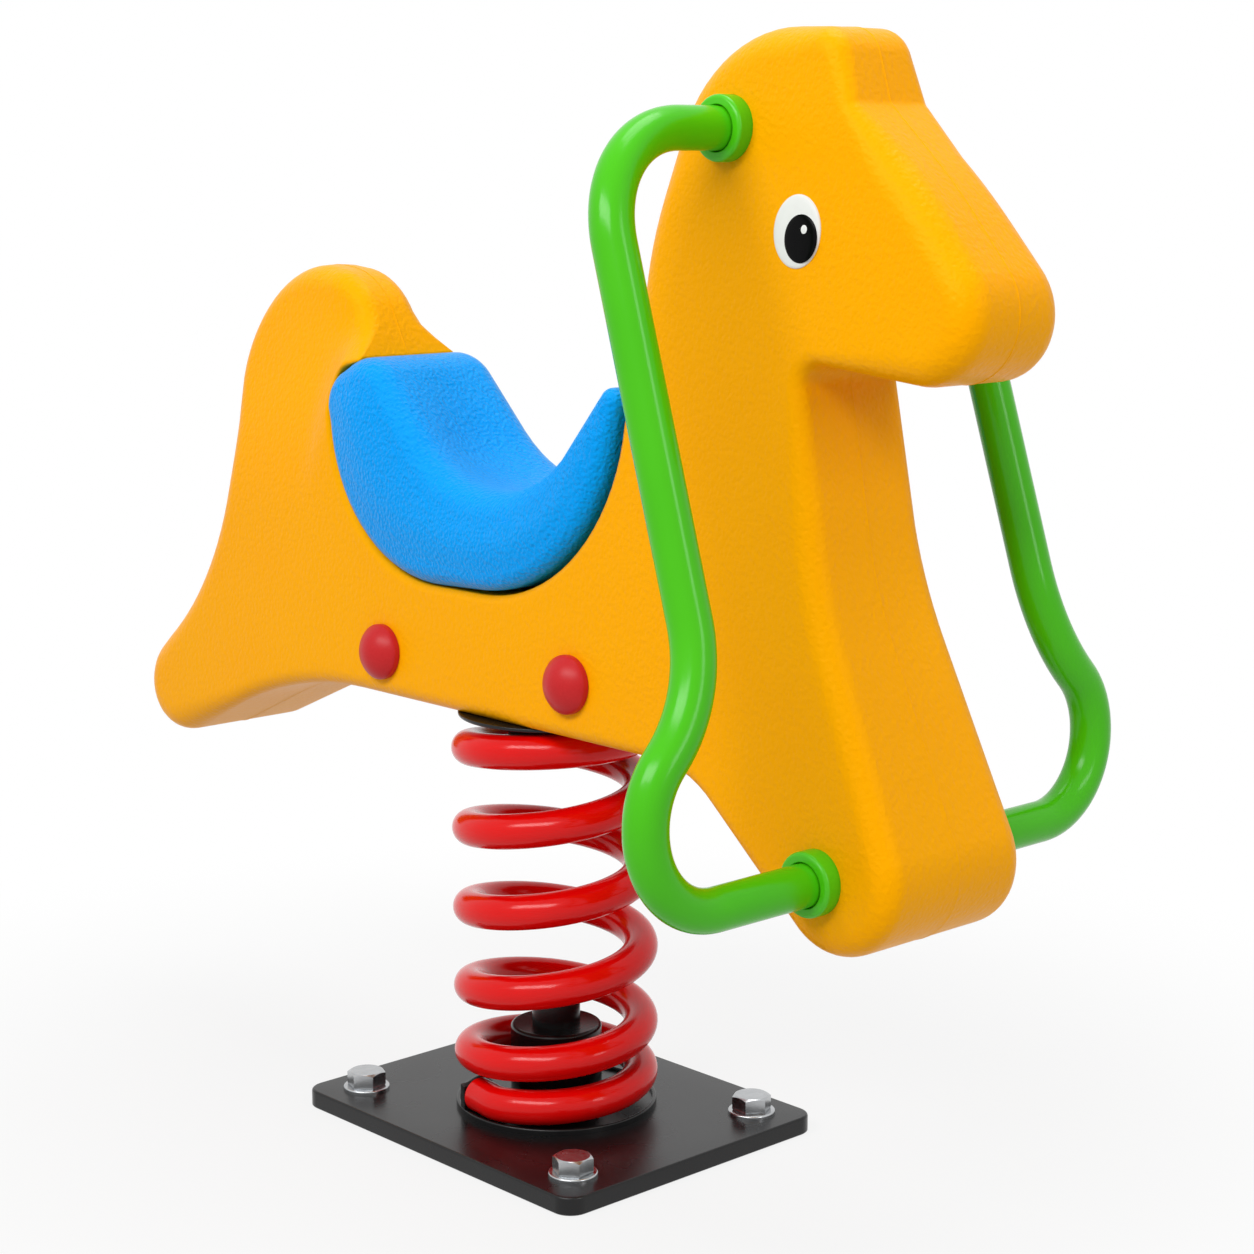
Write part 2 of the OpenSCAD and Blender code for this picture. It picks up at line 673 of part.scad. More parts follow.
function run_end(i) = rail_points[i + 1] - rail_runs[i] * max(0, bend_reach(i + 1) - bend_lap);
module tube_bend(i) {
    u = rail_runs[i - 1];
    inward = unit(rail_runs[i] - u * (u * rail_runs[i]));
    centre = rail_points[i] - u * bend_reach(i) + inward * rail_bends[i];
    side = cross(-inward, u);
    multmatrix([
        [-inward[0], u[0], side[0], centre[0]],
        [-inward[1], u[1], side[1], centre[1]],
        [-inward[2], u[2], side[2], centre[2]],
        [0, 0, 0, 1]
    ]) rotate_extrude(angle = bend_angle(i)) translate([rail_bends[i], 0]) difference() {
        circle(d = rail_d + bend_swell);
        circle(d = rail_d - 2 * rail_wall - bend_swell);
    }
}
module rail() {
    color("#4cc81c") {
        for (i = [0 : 3])
            tube_run(run_start(i), run_end(i));
        for (i = [1 : 3])
            tube_bend(i);
    }
}
module rail_right() {
    rail();
}
module rail_left() {
    mirror([0, 1, 0]) rail();
}
module collar(s) {
    p = on_body(s);
    bore_r = rail_d / 2 + seat_gap;
    color("#46c018") difference() {
        translate([p[0], -half_wid(p[1]), p[1]]) rotate([90, 0, 0]) rotate_extrude() {
            translate([bore_r, -collar_edge_r])
                square([collar_d / 2 - bore_r, collar_len]);
            translate([bore_r, 0]) square([collar_d / 2 - collar_edge_r - bore_r, collar_len]);
            translate([collar_d / 2 - collar_edge_r, collar_len - collar_edge_r]) circle(r = collar_edge_r);
        }
        on_flank(p[0], p[1]) translate([-collar_d, -collar_d, -collar_len])
            cube([2 * collar_d, 2 * collar_d, collar_len + seat_gap]);
    }
}
module upper_collars() {
    both_sides() collar(rail_top_share);
}
module lower_collars() {
    both_sides() collar(rail_low_share);
}
module tie_rod(s) {
    p = on_body(s);
    color("#a8aaac") translate([p[0], 0, p[1]]) rotate([90, 0, 0])
        cylinder(h = 2 * (tie_bite - rail_end(s)), d = tie_rod_d, center = true);
}
module upper_tie_rod() {
    tie_rod(rail_top_share);
}
module lower_tie_rod() {
    tie_rod(rail_low_share);
}
module rail_plugs() {
    color("#808284") both_sides() for (s = [rail_top_share, rail_low_share])
        translate([on_body(s)[0], rail_end(s), on_body(s)[1]]) rotate([90, 0, 0])
            washer(rail_d - 2 * rail_wall - 2 * seat_gap, tie_rod_d + 2 * seat_gap, plug_len);
}

base_plate();
anchor_bolts();
anchor_washers();
lower_cup();
lower_spigot();
spigot_stud();
lower_end_stop();
spring();
head_plate();
upper_spigot();
upper_end_stop();
head_screws();
head_nuts();
cradle();
cradle_bolts();
cradle_washers();
cradle_nuts();
bolt_caps();
body_shell();
saddle();
saddle_screws();
eye_whites();
eye_pupils();
rail_right();
rail_left();
upper_collars();
lower_collars();
upper_tie_rod();
lower_tie_rod();
rail_plugs();
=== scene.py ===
import math

import bmesh
import bpy
import numpy as np
from mathutils import Matrix, Vector
from mathutils.geometry import delaunay_2d_cdt


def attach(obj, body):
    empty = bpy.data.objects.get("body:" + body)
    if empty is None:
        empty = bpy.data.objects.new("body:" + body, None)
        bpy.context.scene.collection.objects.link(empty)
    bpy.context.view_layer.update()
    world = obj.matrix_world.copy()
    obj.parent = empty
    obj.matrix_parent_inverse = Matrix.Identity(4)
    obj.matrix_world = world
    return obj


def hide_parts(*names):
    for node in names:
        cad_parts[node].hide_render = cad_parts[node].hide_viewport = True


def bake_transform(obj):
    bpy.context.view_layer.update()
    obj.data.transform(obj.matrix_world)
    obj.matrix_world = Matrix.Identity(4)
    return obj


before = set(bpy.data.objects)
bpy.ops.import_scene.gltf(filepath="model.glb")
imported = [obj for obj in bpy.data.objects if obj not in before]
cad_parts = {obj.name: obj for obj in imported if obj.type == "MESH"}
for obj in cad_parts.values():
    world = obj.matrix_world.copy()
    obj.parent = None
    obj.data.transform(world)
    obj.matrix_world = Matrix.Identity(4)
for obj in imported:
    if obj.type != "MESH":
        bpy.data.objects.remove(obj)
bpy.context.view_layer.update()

# Base plate: thick steel plate cut to a rounded rectangle, drilled for four ground anchors and powder coated.
# It lies flat on the ground and carries the rest. Its cut edges are ground round before they are coated.
plate_length, plate_width, plate_thickness, plate_corner = 0.322, 0.260, 0.014, 0.016
plate_edge = [(0.0008, 0), (0, 0.0008), (0, 0.0122), (0.0003, 0.0131), (0.0009, 0.0137), (0.0018, plate_thickness)]
anchor_reach_x, anchor_reach_y, anchor_hole = 0.125, 0.094, 0.0085
anchor_places = [(x * anchor_reach_x, y * anchor_reach_y) for x in (-1, 1) for y in (-1, 1)]
crease_angle = math.radians(38)


def linear(hex_colour):
    """An sRGB hex colour as linear red, green, blue and alpha."""
    parts = [int(hex_colour[i : i + 2], 16) / 255 for i in (1, 3, 5)]
    return [c / 12.92 if c <= 0.04045 else ((c + 0.055) / 1.055) ** 2.4 for c in parts] + [1.0]


def add_node(tree, kind, inputs, **settings):
    """Adds a node. An input that is a socket is linked to it, and any other value is set on it."""
    node = tree.nodes.new(kind)
    for name, value in settings.items():
        setattr(node, name, value)
    for name, value in inputs.items():
        if isinstance(value, bpy.types.NodeSocket):
            tree.links.new(value, node.inputs[name])
        else:
            node.inputs[name].default_value = value
    return node


def new_finish(name):
    """An empty material, its node tree, its output and the coordinates of the piece that wears it, in metres."""
    finish = bpy.data.materials.new(name)
    finish.use_nodes = True
    tree = finish.node_tree
    tree.nodes.clear()
    place = add_node(tree, "ShaderNodeTexCoord", {}).outputs["Object"]
    return finish, tree, add_node(tree, "ShaderNodeOutputMaterial", {}), place


def skin(bm, rings, wrap=False, ends=False):
    """Quads from each ring of points to the next. It can wrap from the last to the first, or close its two ends."""
    loops = [[bm.verts.new(point) for point in ring] for ring in rings]
    for a, b in list(zip(loops, loops[1:])) + ([(loops[-1], loops[0])] if wrap else []):
        for i in range(len(a)):
            j = (i + 1) % len(a)
            bm.faces.new((a[i], a[j], b[j], b[i]))
    if ends:
        bm.faces.new(loops[0])
        bm.faces.new(loops[-1])
    return loops


def add_piece(name, bm, finish, slot, body, *nodes, crease=crease_angle):
    """A finished piece: smooth but for its creases, in its finish, riding on its body in place of the CAD nodes."""
    bmesh.ops.recalc_face_normals(bm, faces=bm.faces)
    mesh = bpy.data.meshes.new(name)
    bm.to_mesh(mesh)
    bm.free()
    mesh.shade_smooth()
    mesh.set_sharp_from_angle(angle=crease)
    mesh.materials.append(finish)
    piece = bpy.data.objects.new(name, mesh)
    bpy.context.collection.objects.link(piece)
    if nodes:
        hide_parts(*nodes)
    if body:
        piece.modifiers.new("even_normals", "WEIGHTED_NORMAL").keep_sharp = True
        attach(piece, body)
    return piece


# Black polyester powder coat, baked on: a satin film with a faint orange peel about 2 mm across.
black_coat, tree, output, place = new_finish("powder_coated_steel_black")
peel = add_node(tree, "ShaderNodeTexNoise", {"Vector": place, "Scale": 1 / 0.002, "Detail": 2.0})
cloud = add_node(tree, "ShaderNodeTexNoise", {"Vector": place, "Scale": 1 / 0.06, "Detail": 3.0})
tone = add_node(tree, "ShaderNodeValToRGB", {"Fac": cloud.outputs["Fac"]})
tone.color_ramp.elements[0].color = linear("#0B0B0C")
tone.color_ramp.elements[1].color = linear("#141415")
gloss = add_node(tree, "ShaderNodeMapRange", {"Value": cloud.outputs["Fac"], "To Min": 0.22, "To Max": 0.32})
dimple = add_node(tree, "ShaderNodeBump", {"Height": peel.outputs["Fac"], "Strength": 0.2, "Distance": 0.0003})
coat = add_node(tree, "ShaderNodeBsdfPrincipled", {
    "Base Color": tone.outputs["Color"], "Roughness": gloss.outputs["Result"], "IOR": 1.5,
    "Specular IOR Level": 0.32, "Normal": dimple.outputs["Normal"]})
tree.links.new(coat.outputs["BSDF"], output.inputs["Surface"])


def rounded_rectangle(length, width, corner, inset, z, steps=8):
    """Points round a rectangle with round corners, drawn in by an inset."""
    points = []
    for quarter, (sx, sy) in enumerate(((1, 1), (-1, 1), (-1, -1), (1, -1))):
        for step in range(steps + 1):
            angle = math.radians(90 * quarter + 90 * step / steps)
            points.append((
                sx * (length / 2 - corner) + (corner - inset) * math.cos(angle),
                sy * (width / 2 - corner) + (corner - inset) * math.sin(angle), z))
    return points


bm = bmesh.new()
walls = skin(bm, [rounded_rectangle(plate_length, plate_width, plate_corner, inset, z) for inset, z in plate_edge])
hole_angles = [math.radians(a) for a in range(0, 360, 15)]
holes = [
    skin(bm, [
        [(x + anchor_hole * math.cos(a), y + anchor_hole * math.sin(a), z) for a in hole_angles]
        for z in (0, plate_thickness)])
    for x, y in anchor_places]
for level, up in ((0, -1), (-1, 1)):
    loops = [walls[level]] + [hole[level] for hole in holes]
    rim = [bm.edges.get((loop[i - 1], loop[i])) for loop in loops for i in range(len(loop))]
    bmesh.ops.triangle_fill(bm, edges=rim, use_beauty=True, normal=(0, 0, up))
add_piece("base_plate_coated", bm, black_coat, "black_coated_steel", "base", "base_plate")

# Anchor bolts and washers: forged hexagon bolts through the plate's corners into the ground, on thick washers.
# Carbon steel, zinc plated: a hexagon chamfered to a round crown, over a washer with turned edges.
washer_radius, washer_thickness, washer_edge, washer_bore_edge = 0.0185, 0.003, 0.0012, 0.0004
bolt_radius, bolt_across, bolt_head, foot_inset, foot_rise = 0.008, 0.027, 0.012, 0.0006, 0.0008
crown_share, crown_slope, bolt_crease = 0.47, math.radians(30), math.radians(20)
bolt_spins = [math.radians(a) for a in (12, -20, 6, 27)]


def round_corners(corners, steps=6):
    """A turned profile of radius and height, with each corner that has a third value rounded by that radius."""
    profile = []
    for i, (*corner, size) in enumerate(corners):
        if not size:
            profile.append(tuple(corner))
            continue
        here = Vector(corner)
        back = (Vector(corners[i - 1][:2]) - here).normalized()
        on = (Vector(corners[(i + 1) % len(corners)][:2]) - here).normalized()
        half = back.angle(on) / 2
        middle = here + (back + on).normalized() * size / math.sin(half)
        first, last = here + back * size / math.tan(half) - middle, here + on * size / math.tan(half) - middle
        profile += [tuple(middle + first.slerp(last, k / steps).normalized() * size) for k in range(steps + 1)]
    return profile


def turn(bm, profile, place=Matrix(), sides=72, wrap=False):
    """A profile of radius and height turned about its own upright axis. A radius of zero ends it in a point."""
    angles = [2 * math.pi * k / sides for k in range(sides)]
    loops = skin(bm, [
        [place @ Vector((r * math.cos(a), r * math.sin(a), z)) for a in angles] for r, z in profile if r > 0], wrap)
    for (r, z), loop in ((profile[0], loops[0]), (profile[-1], loops[-1])):
        if r == 0:
            tip = bm.verts.new(place @ Vector((0, 0, z)))
            for i in range(sides):
                bm.faces.new((loop[i], loop[(i + 1) % sides], tip))
    return loops


# Bright zinc plate with a clear passivate: a pale grey metal, a little uneven, lightly scuffed over 8 mm or so.
zinc_plate, tree, output, place = new_finish("zinc_plated_steel")
scuff = add_node(tree, "ShaderNodeTexNoise", {"Vector": place, "Scale": 1 / 0.008, "Detail": 3.0})
tone = add_node(tree, "ShaderNodeValToRGB", {"Fac": scuff.outputs["Fac"]})
tone.color_ramp.elements[0].color = linear("#A6A8AA")
tone.color_ramp.elements[1].color = linear("#C0C2C4")
gloss = add_node(tree, "ShaderNodeMapRange", {"Value": scuff.outputs["Fac"], "To Min": 0.2, "To Max": 0.3})
grit = add_node(tree, "ShaderNodeTexNoise", {"Vector": place, "Scale": 1 / 0.001})
dimple = add_node(tree, "ShaderNodeBump", {"Height": grit.outputs["Fac"], "Strength": 0.1, "Distance": 0.0002})
plating = add_node(tree, "ShaderNodeBsdfPrincipled", {
    "Base Color": tone.outputs["Color"], "Metallic": 1.0, "Roughness": gloss.outputs["Result"],
    "Normal": dimple.outputs["Normal"]})
tree.links.new(plating.outputs["BSDF"], output.inputs["Surface"])

bm = bmesh.new()
washer_profile = round_corners([
    (anchor_hole, 0, 0), (washer_radius, 0, 0), (washer_radius, washer_thickness, washer_edge),
    (anchor_hole, washer_thickness, washer_bore_edge)])
for x, y in anchor_places:
    turn(bm, washer_profile, Matrix.Translation((x, y, plate_thickness)), wrap=True)
add_piece("anchor_washers_zinc", bm, zinc_plate, "zinc_plated_steel", "base", "anchor_washers")

bm = bmesh.new()
crown, head_low = crown_share * bolt_across, plate_thickness + washer_thickness
head_top = head_low + bolt_head
angles = [math.radians(a) for a in range(0, 360, 3)]
flats = [bolt_across / 2 / math.cos((a - math.pi / 6) % (math.pi / 3) - math.pi / 6) for a in angles]
shoulder = [head_top - max(0, flat - crown) * math.tan(crown_slope) for flat in flats]
head_rings = [
    [(bolt_radius, 0)] * len(angles), [(bolt_radius, head_low)] * len(angles),
    [(flat - foot_inset, head_low) for flat in flats], [(flat, head_low + foot_rise) for flat in flats],
    list(zip(flats, shoulder)), [(crown, head_top)] * len(angles)]
for (x, y), spin in zip(anchor_places, bolt_spins):
    skin(bm, [
        [(x + r * math.cos(a + spin), y + r * math.sin(a + spin), z) for a, (r, z) in zip(angles, ring)]
        for ring in head_rings], ends=True)
add_piece("anchor_bolts_zinc", bm, zinc_plate, "zinc_plated_steel", "base", "anchor_bolts", crease=bolt_crease)

# Lower spring seat: a shallow round cup, welded to the plate, with a stop block that the wire end bears against,
# a round hub inside the coil and a stud on top of it. All of it is turned steel, coated with the plate.
cup_radius, cup_inner, cup_floor, cup_top, cup_edge = 0.07949, 0.07629, 0.002, 0.005, 0.0012
hub_radius, hub_height, hub_edge = 0.036, 0.063, 0.003
stud_radius, stud_height, stud_edge = 0.019, 0.028, 0.0025


def add_turned(name, corners, low, sides, body, node):
    """A coated piece of the spring's seats: a turned profile on the spring's axis, standing at a height."""
    bm = bmesh.new()
    turn(bm, round_corners(corners), Matrix.Translation((0, 0, low)), sides)
    add_piece(name, bm, black_coat, "black_coated_steel", body, node)


add_turned("lower_cup_coated", [
    (0, 0, 0), (cup_radius, 0, 0), (cup_radius, cup_top, cup_edge), (cup_inner, cup_top, cup_edge),
    (cup_inner, cup_floor, 0), (0, cup_floor, 0)], plate_thickness, 128, "base", "lower_cup")
add_turned("lower_hub_coated", [
    (0, 0, 0), (hub_radius, 0, 0), (hub_radius, hub_height, hub_edge), (0, hub_height, 0)],
    plate_thickness + cup_floor, 96, "base", "lower_spigot")
add_turned("hub_stud_coated", [
    (0, 0, 0), (stud_radius, 0, 0), (stud_radius, stud_height, stud_edge), (0, stud_height, 0)],
    plate_thickness + cup_floor + hub_height, 96, "base", "spigot_stud")


def finish_nodes(finish, *nodes):
    """CAD nodes that keep their own shape take a finish."""
    for node in nodes:
        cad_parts[node].data.materials.clear()
        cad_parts[node].data.materials.append(finish)


finish_nodes(black_coat, "lower_end_stop")

# Spring: one round bar of spring steel, hot wound right-handed to a little over five turns.
# Its cut ends bear on a stop in each seat. It is powder coated gloss red, and it bends between the two seats.
wire_radius, wire_bevel, coil_radius, spring_turns = 0.0135, 0.0015, 0.067, 5.4
wire_low, wire_high, coil_start, closed_gap = 0.0296, 0.3154, math.radians(252), 0.0008
closed_turns, opening_turns, closing_turns = 0.42, 1.8, 0.4
end_run = math.asin(wire_radius / coil_radius) / math.pi
closed_pitch = (2 * wire_radius + closed_gap) / (1 - end_run)
coil_turns = spring_turns - 2 * end_run
closed_part = (closed_turns + opening_turns) / 2
open_pitch = (wire_high - wire_low - closed_pitch * closed_part) / (coil_turns - closing_turns / 2 - closed_part)


def wire_point(t):
    """The middle of the wire, t turns from its lower end. Each end is a straight run, square to its stop."""
    if t < end_run or t > spring_turns - end_run:
        ends = (0, end_run) if t < end_run else (spring_turns - end_run, spring_turns)
        share = (t - ends[0]) / (ends[1] - ends[0])
        angles = [coil_start + 2 * math.pi * end for end in ends]
        x, y = (sum(w * coil_radius * f(a) for w, a in zip((1 - share, share), angles)) for f in (math.cos, math.sin))
        return Vector((x, y, wire_low if t < end_run else wire_high))
    s = t - end_run
    shut = min(s, closed_turns)
    opening = max(0, min(s, opening_turns) - closed_turns)
    spread = max(0, min(s, coil_turns - closing_turns) - opening_turns)
    closing = max(0, s - coil_turns + closing_turns)
    rise = closed_pitch * (shut + opening)
    rise += (open_pitch - closed_pitch) * opening**2 / 2 / (opening_turns - closed_turns)
    rise += open_pitch * (spread + closing - closing**2 / 2 / closing_turns)
    a = coil_start + 2 * math.pi * t
    return Vector((coil_radius * math.cos(a), coil_radius * math.sin(a), wire_low + rise))


def wire_ring(t, radius, back=0.0, sides=36, look=0.004):
    """A ring of points round the wire, set back along it where it is part of a broken end edge."""
    point = wire_point(t)
    along = (wire_point(min(spring_turns, t + look)) - wire_point(max(0, t - look))).normalized()
    flat = Vector((point.x, point.y, 0)).normalized()
    out = (flat - along * flat.dot(along)).normalized()
    over = along.cross(out)
    angles = [2 * math.pi * k / sides for k in range(sides)]
    return [point + along * back + (out * math.cos(a) + over * math.sin(a)) * radius for a in angles]


def wire_run(start, end, turns, rings_a_turn=72):
    """Even rings of the full wire between two places along it, as many as a number of turns needs."""
    steps = int(turns * rings_a_turn)
    return [wire_ring(start + (end - start) * k / steps, wire_radius) for k in range(steps + 1)]


# Red polyester powder coat over the bar: glossy, with a soft orange peel about 3 mm across.
red_coat, tree, output, place = new_finish("powder_coated_spring_steel_red")
peel = add_node(tree, "ShaderNodeTexNoise", {"Vector": place, "Scale": 1 / 0.003, "Detail": 2.0})
cloud = add_node(tree, "ShaderNodeTexNoise", {"Vector": place, "Scale": 1 / 0.05, "Detail": 3.0})
tone = add_node(tree, "ShaderNodeValToRGB", {"Fac": cloud.outputs["Fac"]})
tone.color_ramp.elements[0].color = linear("#DC0403")
tone.color_ramp.elements[1].color = linear("#E80604")
gloss = add_node(tree, "ShaderNodeMapRange", {"Value": cloud.outputs["Fac"], "To Min": 0.14, "To Max": 0.2})
dimple = add_node(tree, "ShaderNodeBump", {"Height": peel.outputs["Fac"], "Strength": 0.15, "Distance": 0.0003})
coat = add_node(tree, "ShaderNodeBsdfPrincipled", {
    "Base Color": tone.outputs["Color"], "Roughness": gloss.outputs["Result"], "IOR": 1.5,
    "Specular IOR Level": 0.26, "Normal": dimple.outputs["Normal"]})
tree.links.new(coat.outputs["BSDF"], output.inputs["Surface"])

# The wire is made in two lengths that meet at half its height.
half_height, end_step, tries_a_turn = (wire_low + wire_high) / 2, 0.006, 500
tries = (k / tries_a_turn for k in range(int(spring_turns * tries_a_turn)))
half_way = next(t for t in tries if wire_point(t).z > half_height)
bm = bmesh.new()
lower_end = [wire_ring(0, wire_radius - wire_bevel), wire_ring(0, wire_radius, wire_bevel)]
skin(bm, lower_end + wire_run(end_step, half_way, half_way), ends=True)
lower_coils = add_piece("spring_lower_coils", bm, red_coat, "red_coated_spring_steel", None, "spring")
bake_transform(lower_coils)

bm = bmesh.new()
upper_end = [wire_ring(spring_turns, wire_radius, -wire_bevel), wire_ring(spring_turns, wire_radius - wire_bevel)]
skin(bm, wire_run(half_way, spring_turns - end_step, spring_turns - half_way) + upper_end, ends=True)
upper_coils = add_piece("spring_upper_coils", bm, red_coat, "red_coated_spring_steel", None, "spring")
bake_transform(upper_coils)

# Upper spring seat: a steel disc under the body with a turned edge, a hub inside the coil and a stop for the wire.
# It is coated like the base. Four socket screws through the hub and their nuts pull it up against the cradle.
disc_radius, disc_thickness, disc_low_edge, disc_top_edge, ride_height = 0.075, 0.003, 0.0015, 0.0008, 0.332
add_turned("upper_disc_coated", [
    (0, 0, 0), (disc_radius, 0, disc_low_edge), (disc_radius, disc_thickness, disc_top_edge), (0, disc_thickness, 0)],
    ride_height - disc_thickness, 128, "rider", "head_plate")
finish_nodes(black_coat, "upper_spigot", "upper_end_stop")
finish_nodes(zinc_plate, "head_screws", "head_nuts")

# Cradle: a folded steel channel let into the underside of the body, hot-dip galvanised after bending.
# Two long bolts cross it, each with washers and a nut in a well in the flank, and carry the body.

# Hot-dip zinc: dull grey metal with a spangle of crystals about 9 mm across, each with its own shine.
galvanised, tree, output, place = new_finish("hot_dip_galvanised_steel")
spangle = add_node(tree, "ShaderNodeTexVoronoi", {"Vector": place, "Scale": 1 / 0.009, "Randomness": 1.0})
tone = add_node(tree, "ShaderNodeValToRGB", {"Fac": spangle.outputs["Color"]})
tone.color_ramp.elements[0].color = linear("#8C8E90")
tone.color_ramp.elements[1].color = linear("#B4B6B8")
gloss = add_node(tree, "ShaderNodeMapRange", {"Value": spangle.outputs["Color"], "To Min": 0.4, "To Max": 0.6})
zinc = add_node(tree, "ShaderNodeBsdfPrincipled", {
    "Base Color": tone.outputs["Color"], "Metallic": 1.0, "Roughness": gloss.outputs["Result"]})
tree.links.new(zinc.outputs["BSDF"], output.inputs["Surface"])
finish_nodes(galvanised, "cradle")
finish_nodes(zinc_plate, "cradle_bolts", "cradle_washers", "cradle_nuts")

# Body: one hollow moulding in the shape of a plain animal, with flanks that lean in and edges rounded in the mould.
# It is rotationally moulded polyethylene, coloured right through, with a fine bead where the mould halves part.
body_length, chest_width, head_width, bead_height = 0.920, 0.150, 0.076, 0.0004
chest_drop_share, head_rise_share = 0.114, 0.55
cantle_pinch, pinch_shares, slow_shares, quick_shares = 0.022, (-0.27, -0.21), (0.15, 0.361), (0.276, 0.316)

# The circles that the side outline runs round, in shares of the length: x, z, radius and the radius of the edge.
body_circles = [
    (-0.468, -0.036, 0.047, 0.026),  # tail
    (-0.178, -0.45, -0.45, 0.015),  # rear of the belly
    (0.194, -0.101, -0.101, 0.012),  # front of the belly
    (0.385, -0.056, 0.058, 0.02),  # foot of the chest
    (0.703, 0.252, -0.359, 0.019),  # chest and throat
    (0.344, 0.2965, -0.014, 0.012),  # under the jaw
    (0.435, 0.35, 0.05, 0.023),  # muzzle
    (0.072, 0.098, 0.49, 0.023),  # bridge of the nose
    (0.373, 0.5004, -0.01, 0.012),  # foot of the forelock
    (0.3285, 0.5225, 0.026, 0.016),  # forelock
    (0.29, 0.441, 0.109, 0.024),  # back of the head
    (0.423, 0.336, 0.27, 0.024),  # nape
    (-0.018, 0.268, -0.165, 0.007),  # front of the saddle's hollow
    (-0.078, 0.254, -0.151, 0.007),  # rear of the hollow
    (-0.1975, 0.2475, -0.034, 0.005),  # rear corner of the hollow
    (-0.1965, 0.287, 0.004, 0.0035),  # lip behind the saddle
    (-0.273, 0.293, 0.068, 0.017),  # front of the cantle
    (-0.288, 0.261, 0.102, 0.02),  # top of the cantle
    (-0.648, 0.212, -0.259, 0.024)]  # rump


def on_body(x_share, z_share):
    """A place in the body's side view, from shares of its length."""
    return x_share * body_length, ride_height + z_share * body_length


def circle_on(x, z, r, edge, dish=0):
    """A circle of a moulding's side outline, from shares of the body's length, with the depth of any dish there."""
    return (*on_body(x, z), r * body_length, edge * body_length, dish)


def half_width(z):
    """Half the body's width at a height, between the bottom of the chest and the top of the head."""
    low, high = ride_height - chest_drop_share * body_length, ride_height + head_rise_share * body_length
    return (chest_width + (head_width - chest_width) * (z - low) / (high - low)) / 2


def ease(value, low, high):
    """A smooth step from 0 to 1 between two values."""
    t = min(1, max(0, (value - low) / (high - low)))
    return t * t * (3 - 2 * t)


def flank(x, z):
    """Half the body's width. The cantle is drawn in towards its top, slowly behind and quickly beside the saddle."""
    if x >= 0:
        return half_width(z)
    near = ease(x / body_length, *pinch_shares)
    low, high = (slow + (quick - slow) * near for slow, quick in zip(slow_shares, quick_shares))
    return half_width(z) - cantle_pinch * ease((z - ride_height) / body_length, low, high)


def belt(circles, arc_turn=math.radians(6), arc_step=0.012, line_step=0.014):
    """An outline that runs round circles like a belt: place, outward normal, edge radius and dish of each point.
    Circles hold x, z, radius, edge radius and dish. A hollow has a negative radius."""
    def heading(a, b):
        return math.atan2(b[1] - a[1], b[0] - a[0]) - math.asin((b[2] - a[2]) / math.dist(a[:2], b[:2]))

    outline = []
    for i, (x, z, r, edge, dish) in enumerate(circles):
        following = circles[(i + 1) % len(circles)]
        first, final = heading(circles[i - 1], circles[i]), heading(circles[i], following)
        swing = (final - first) % (2 * math.pi) if r > 0 else -((first - final) % (2 * math.pi))
        steps = max(2, math.ceil(abs(swing) / arc_turn), math.ceil(abs(swing * r) / arc_step))
        for k in range(steps + 1):
            t = first + swing * k / steps
            outline.append((x + r * math.sin(t), z - r * math.cos(t), math.sin(t), -math.cos(t), edge, dish))
        normal = math.sin(final), -math.cos(final)
        start = outline[-1]
        end = following[0] + following[2] * normal[0], following[1] + following[2] * normal[1]
        pieces = math.ceil(math.dist(start[:2], end) / line_step)
        for k in range(1, pieces):
            s = k / pieces
            outline.append((
                start[0] + (end[0] - start[0]) * s, start[1] + (end[1] - start[1]) * s, *normal,
                edge + (following[3] - edge) * s, dish + (following[4] - dish) * s))
    return np.array(outline)


def edge_ring(outline, side, angle, width):
    """The outline rolled over towards one flank, at an angle round its edge from the flank."""
    x, z, nx, nz, edge, _ = outline.T
    inset = edge * (1 - math.sin(angle))
    out = np.array([width(*at) for at in np.stack([x - nx * inset, z - nz * inset], 1)])
    return np.stack([x - nx * inset, side * (out - edge * (1 - math.cos(angle))), z - nz * inset], 1)


def cross_ring(outline, side, share, width, lift):
    """The outline between the two edges, at a share of the way out from the middle, lifted along its normal."""
    edge = edge_ring(outline, side, math.pi / 2, width)
    x, z, nx, nz, _, dish = outline.T
    rise = lift - dish * (1 - share**2) ** 2
    return np.stack([x + nx * rise, edge[:, 1] * share, z + nz * rise], 1)


def moulding_rings(outline, width, across):
    """Rings over a moulding from flank to flank: a rolled edge, rings at sides, shares and lifts, a rolled edge."""
    angles = [math.radians(a) for a in range(0, 91, 10)]
    return (
        [edge_ring(outline, -1, a, width) for a in angles]
        + [cross_ring(outline, side, share, width, lift) for side, share, lift in across]
        + [edge_ring(outline, 1, a, width) for a in angles[::-1]])


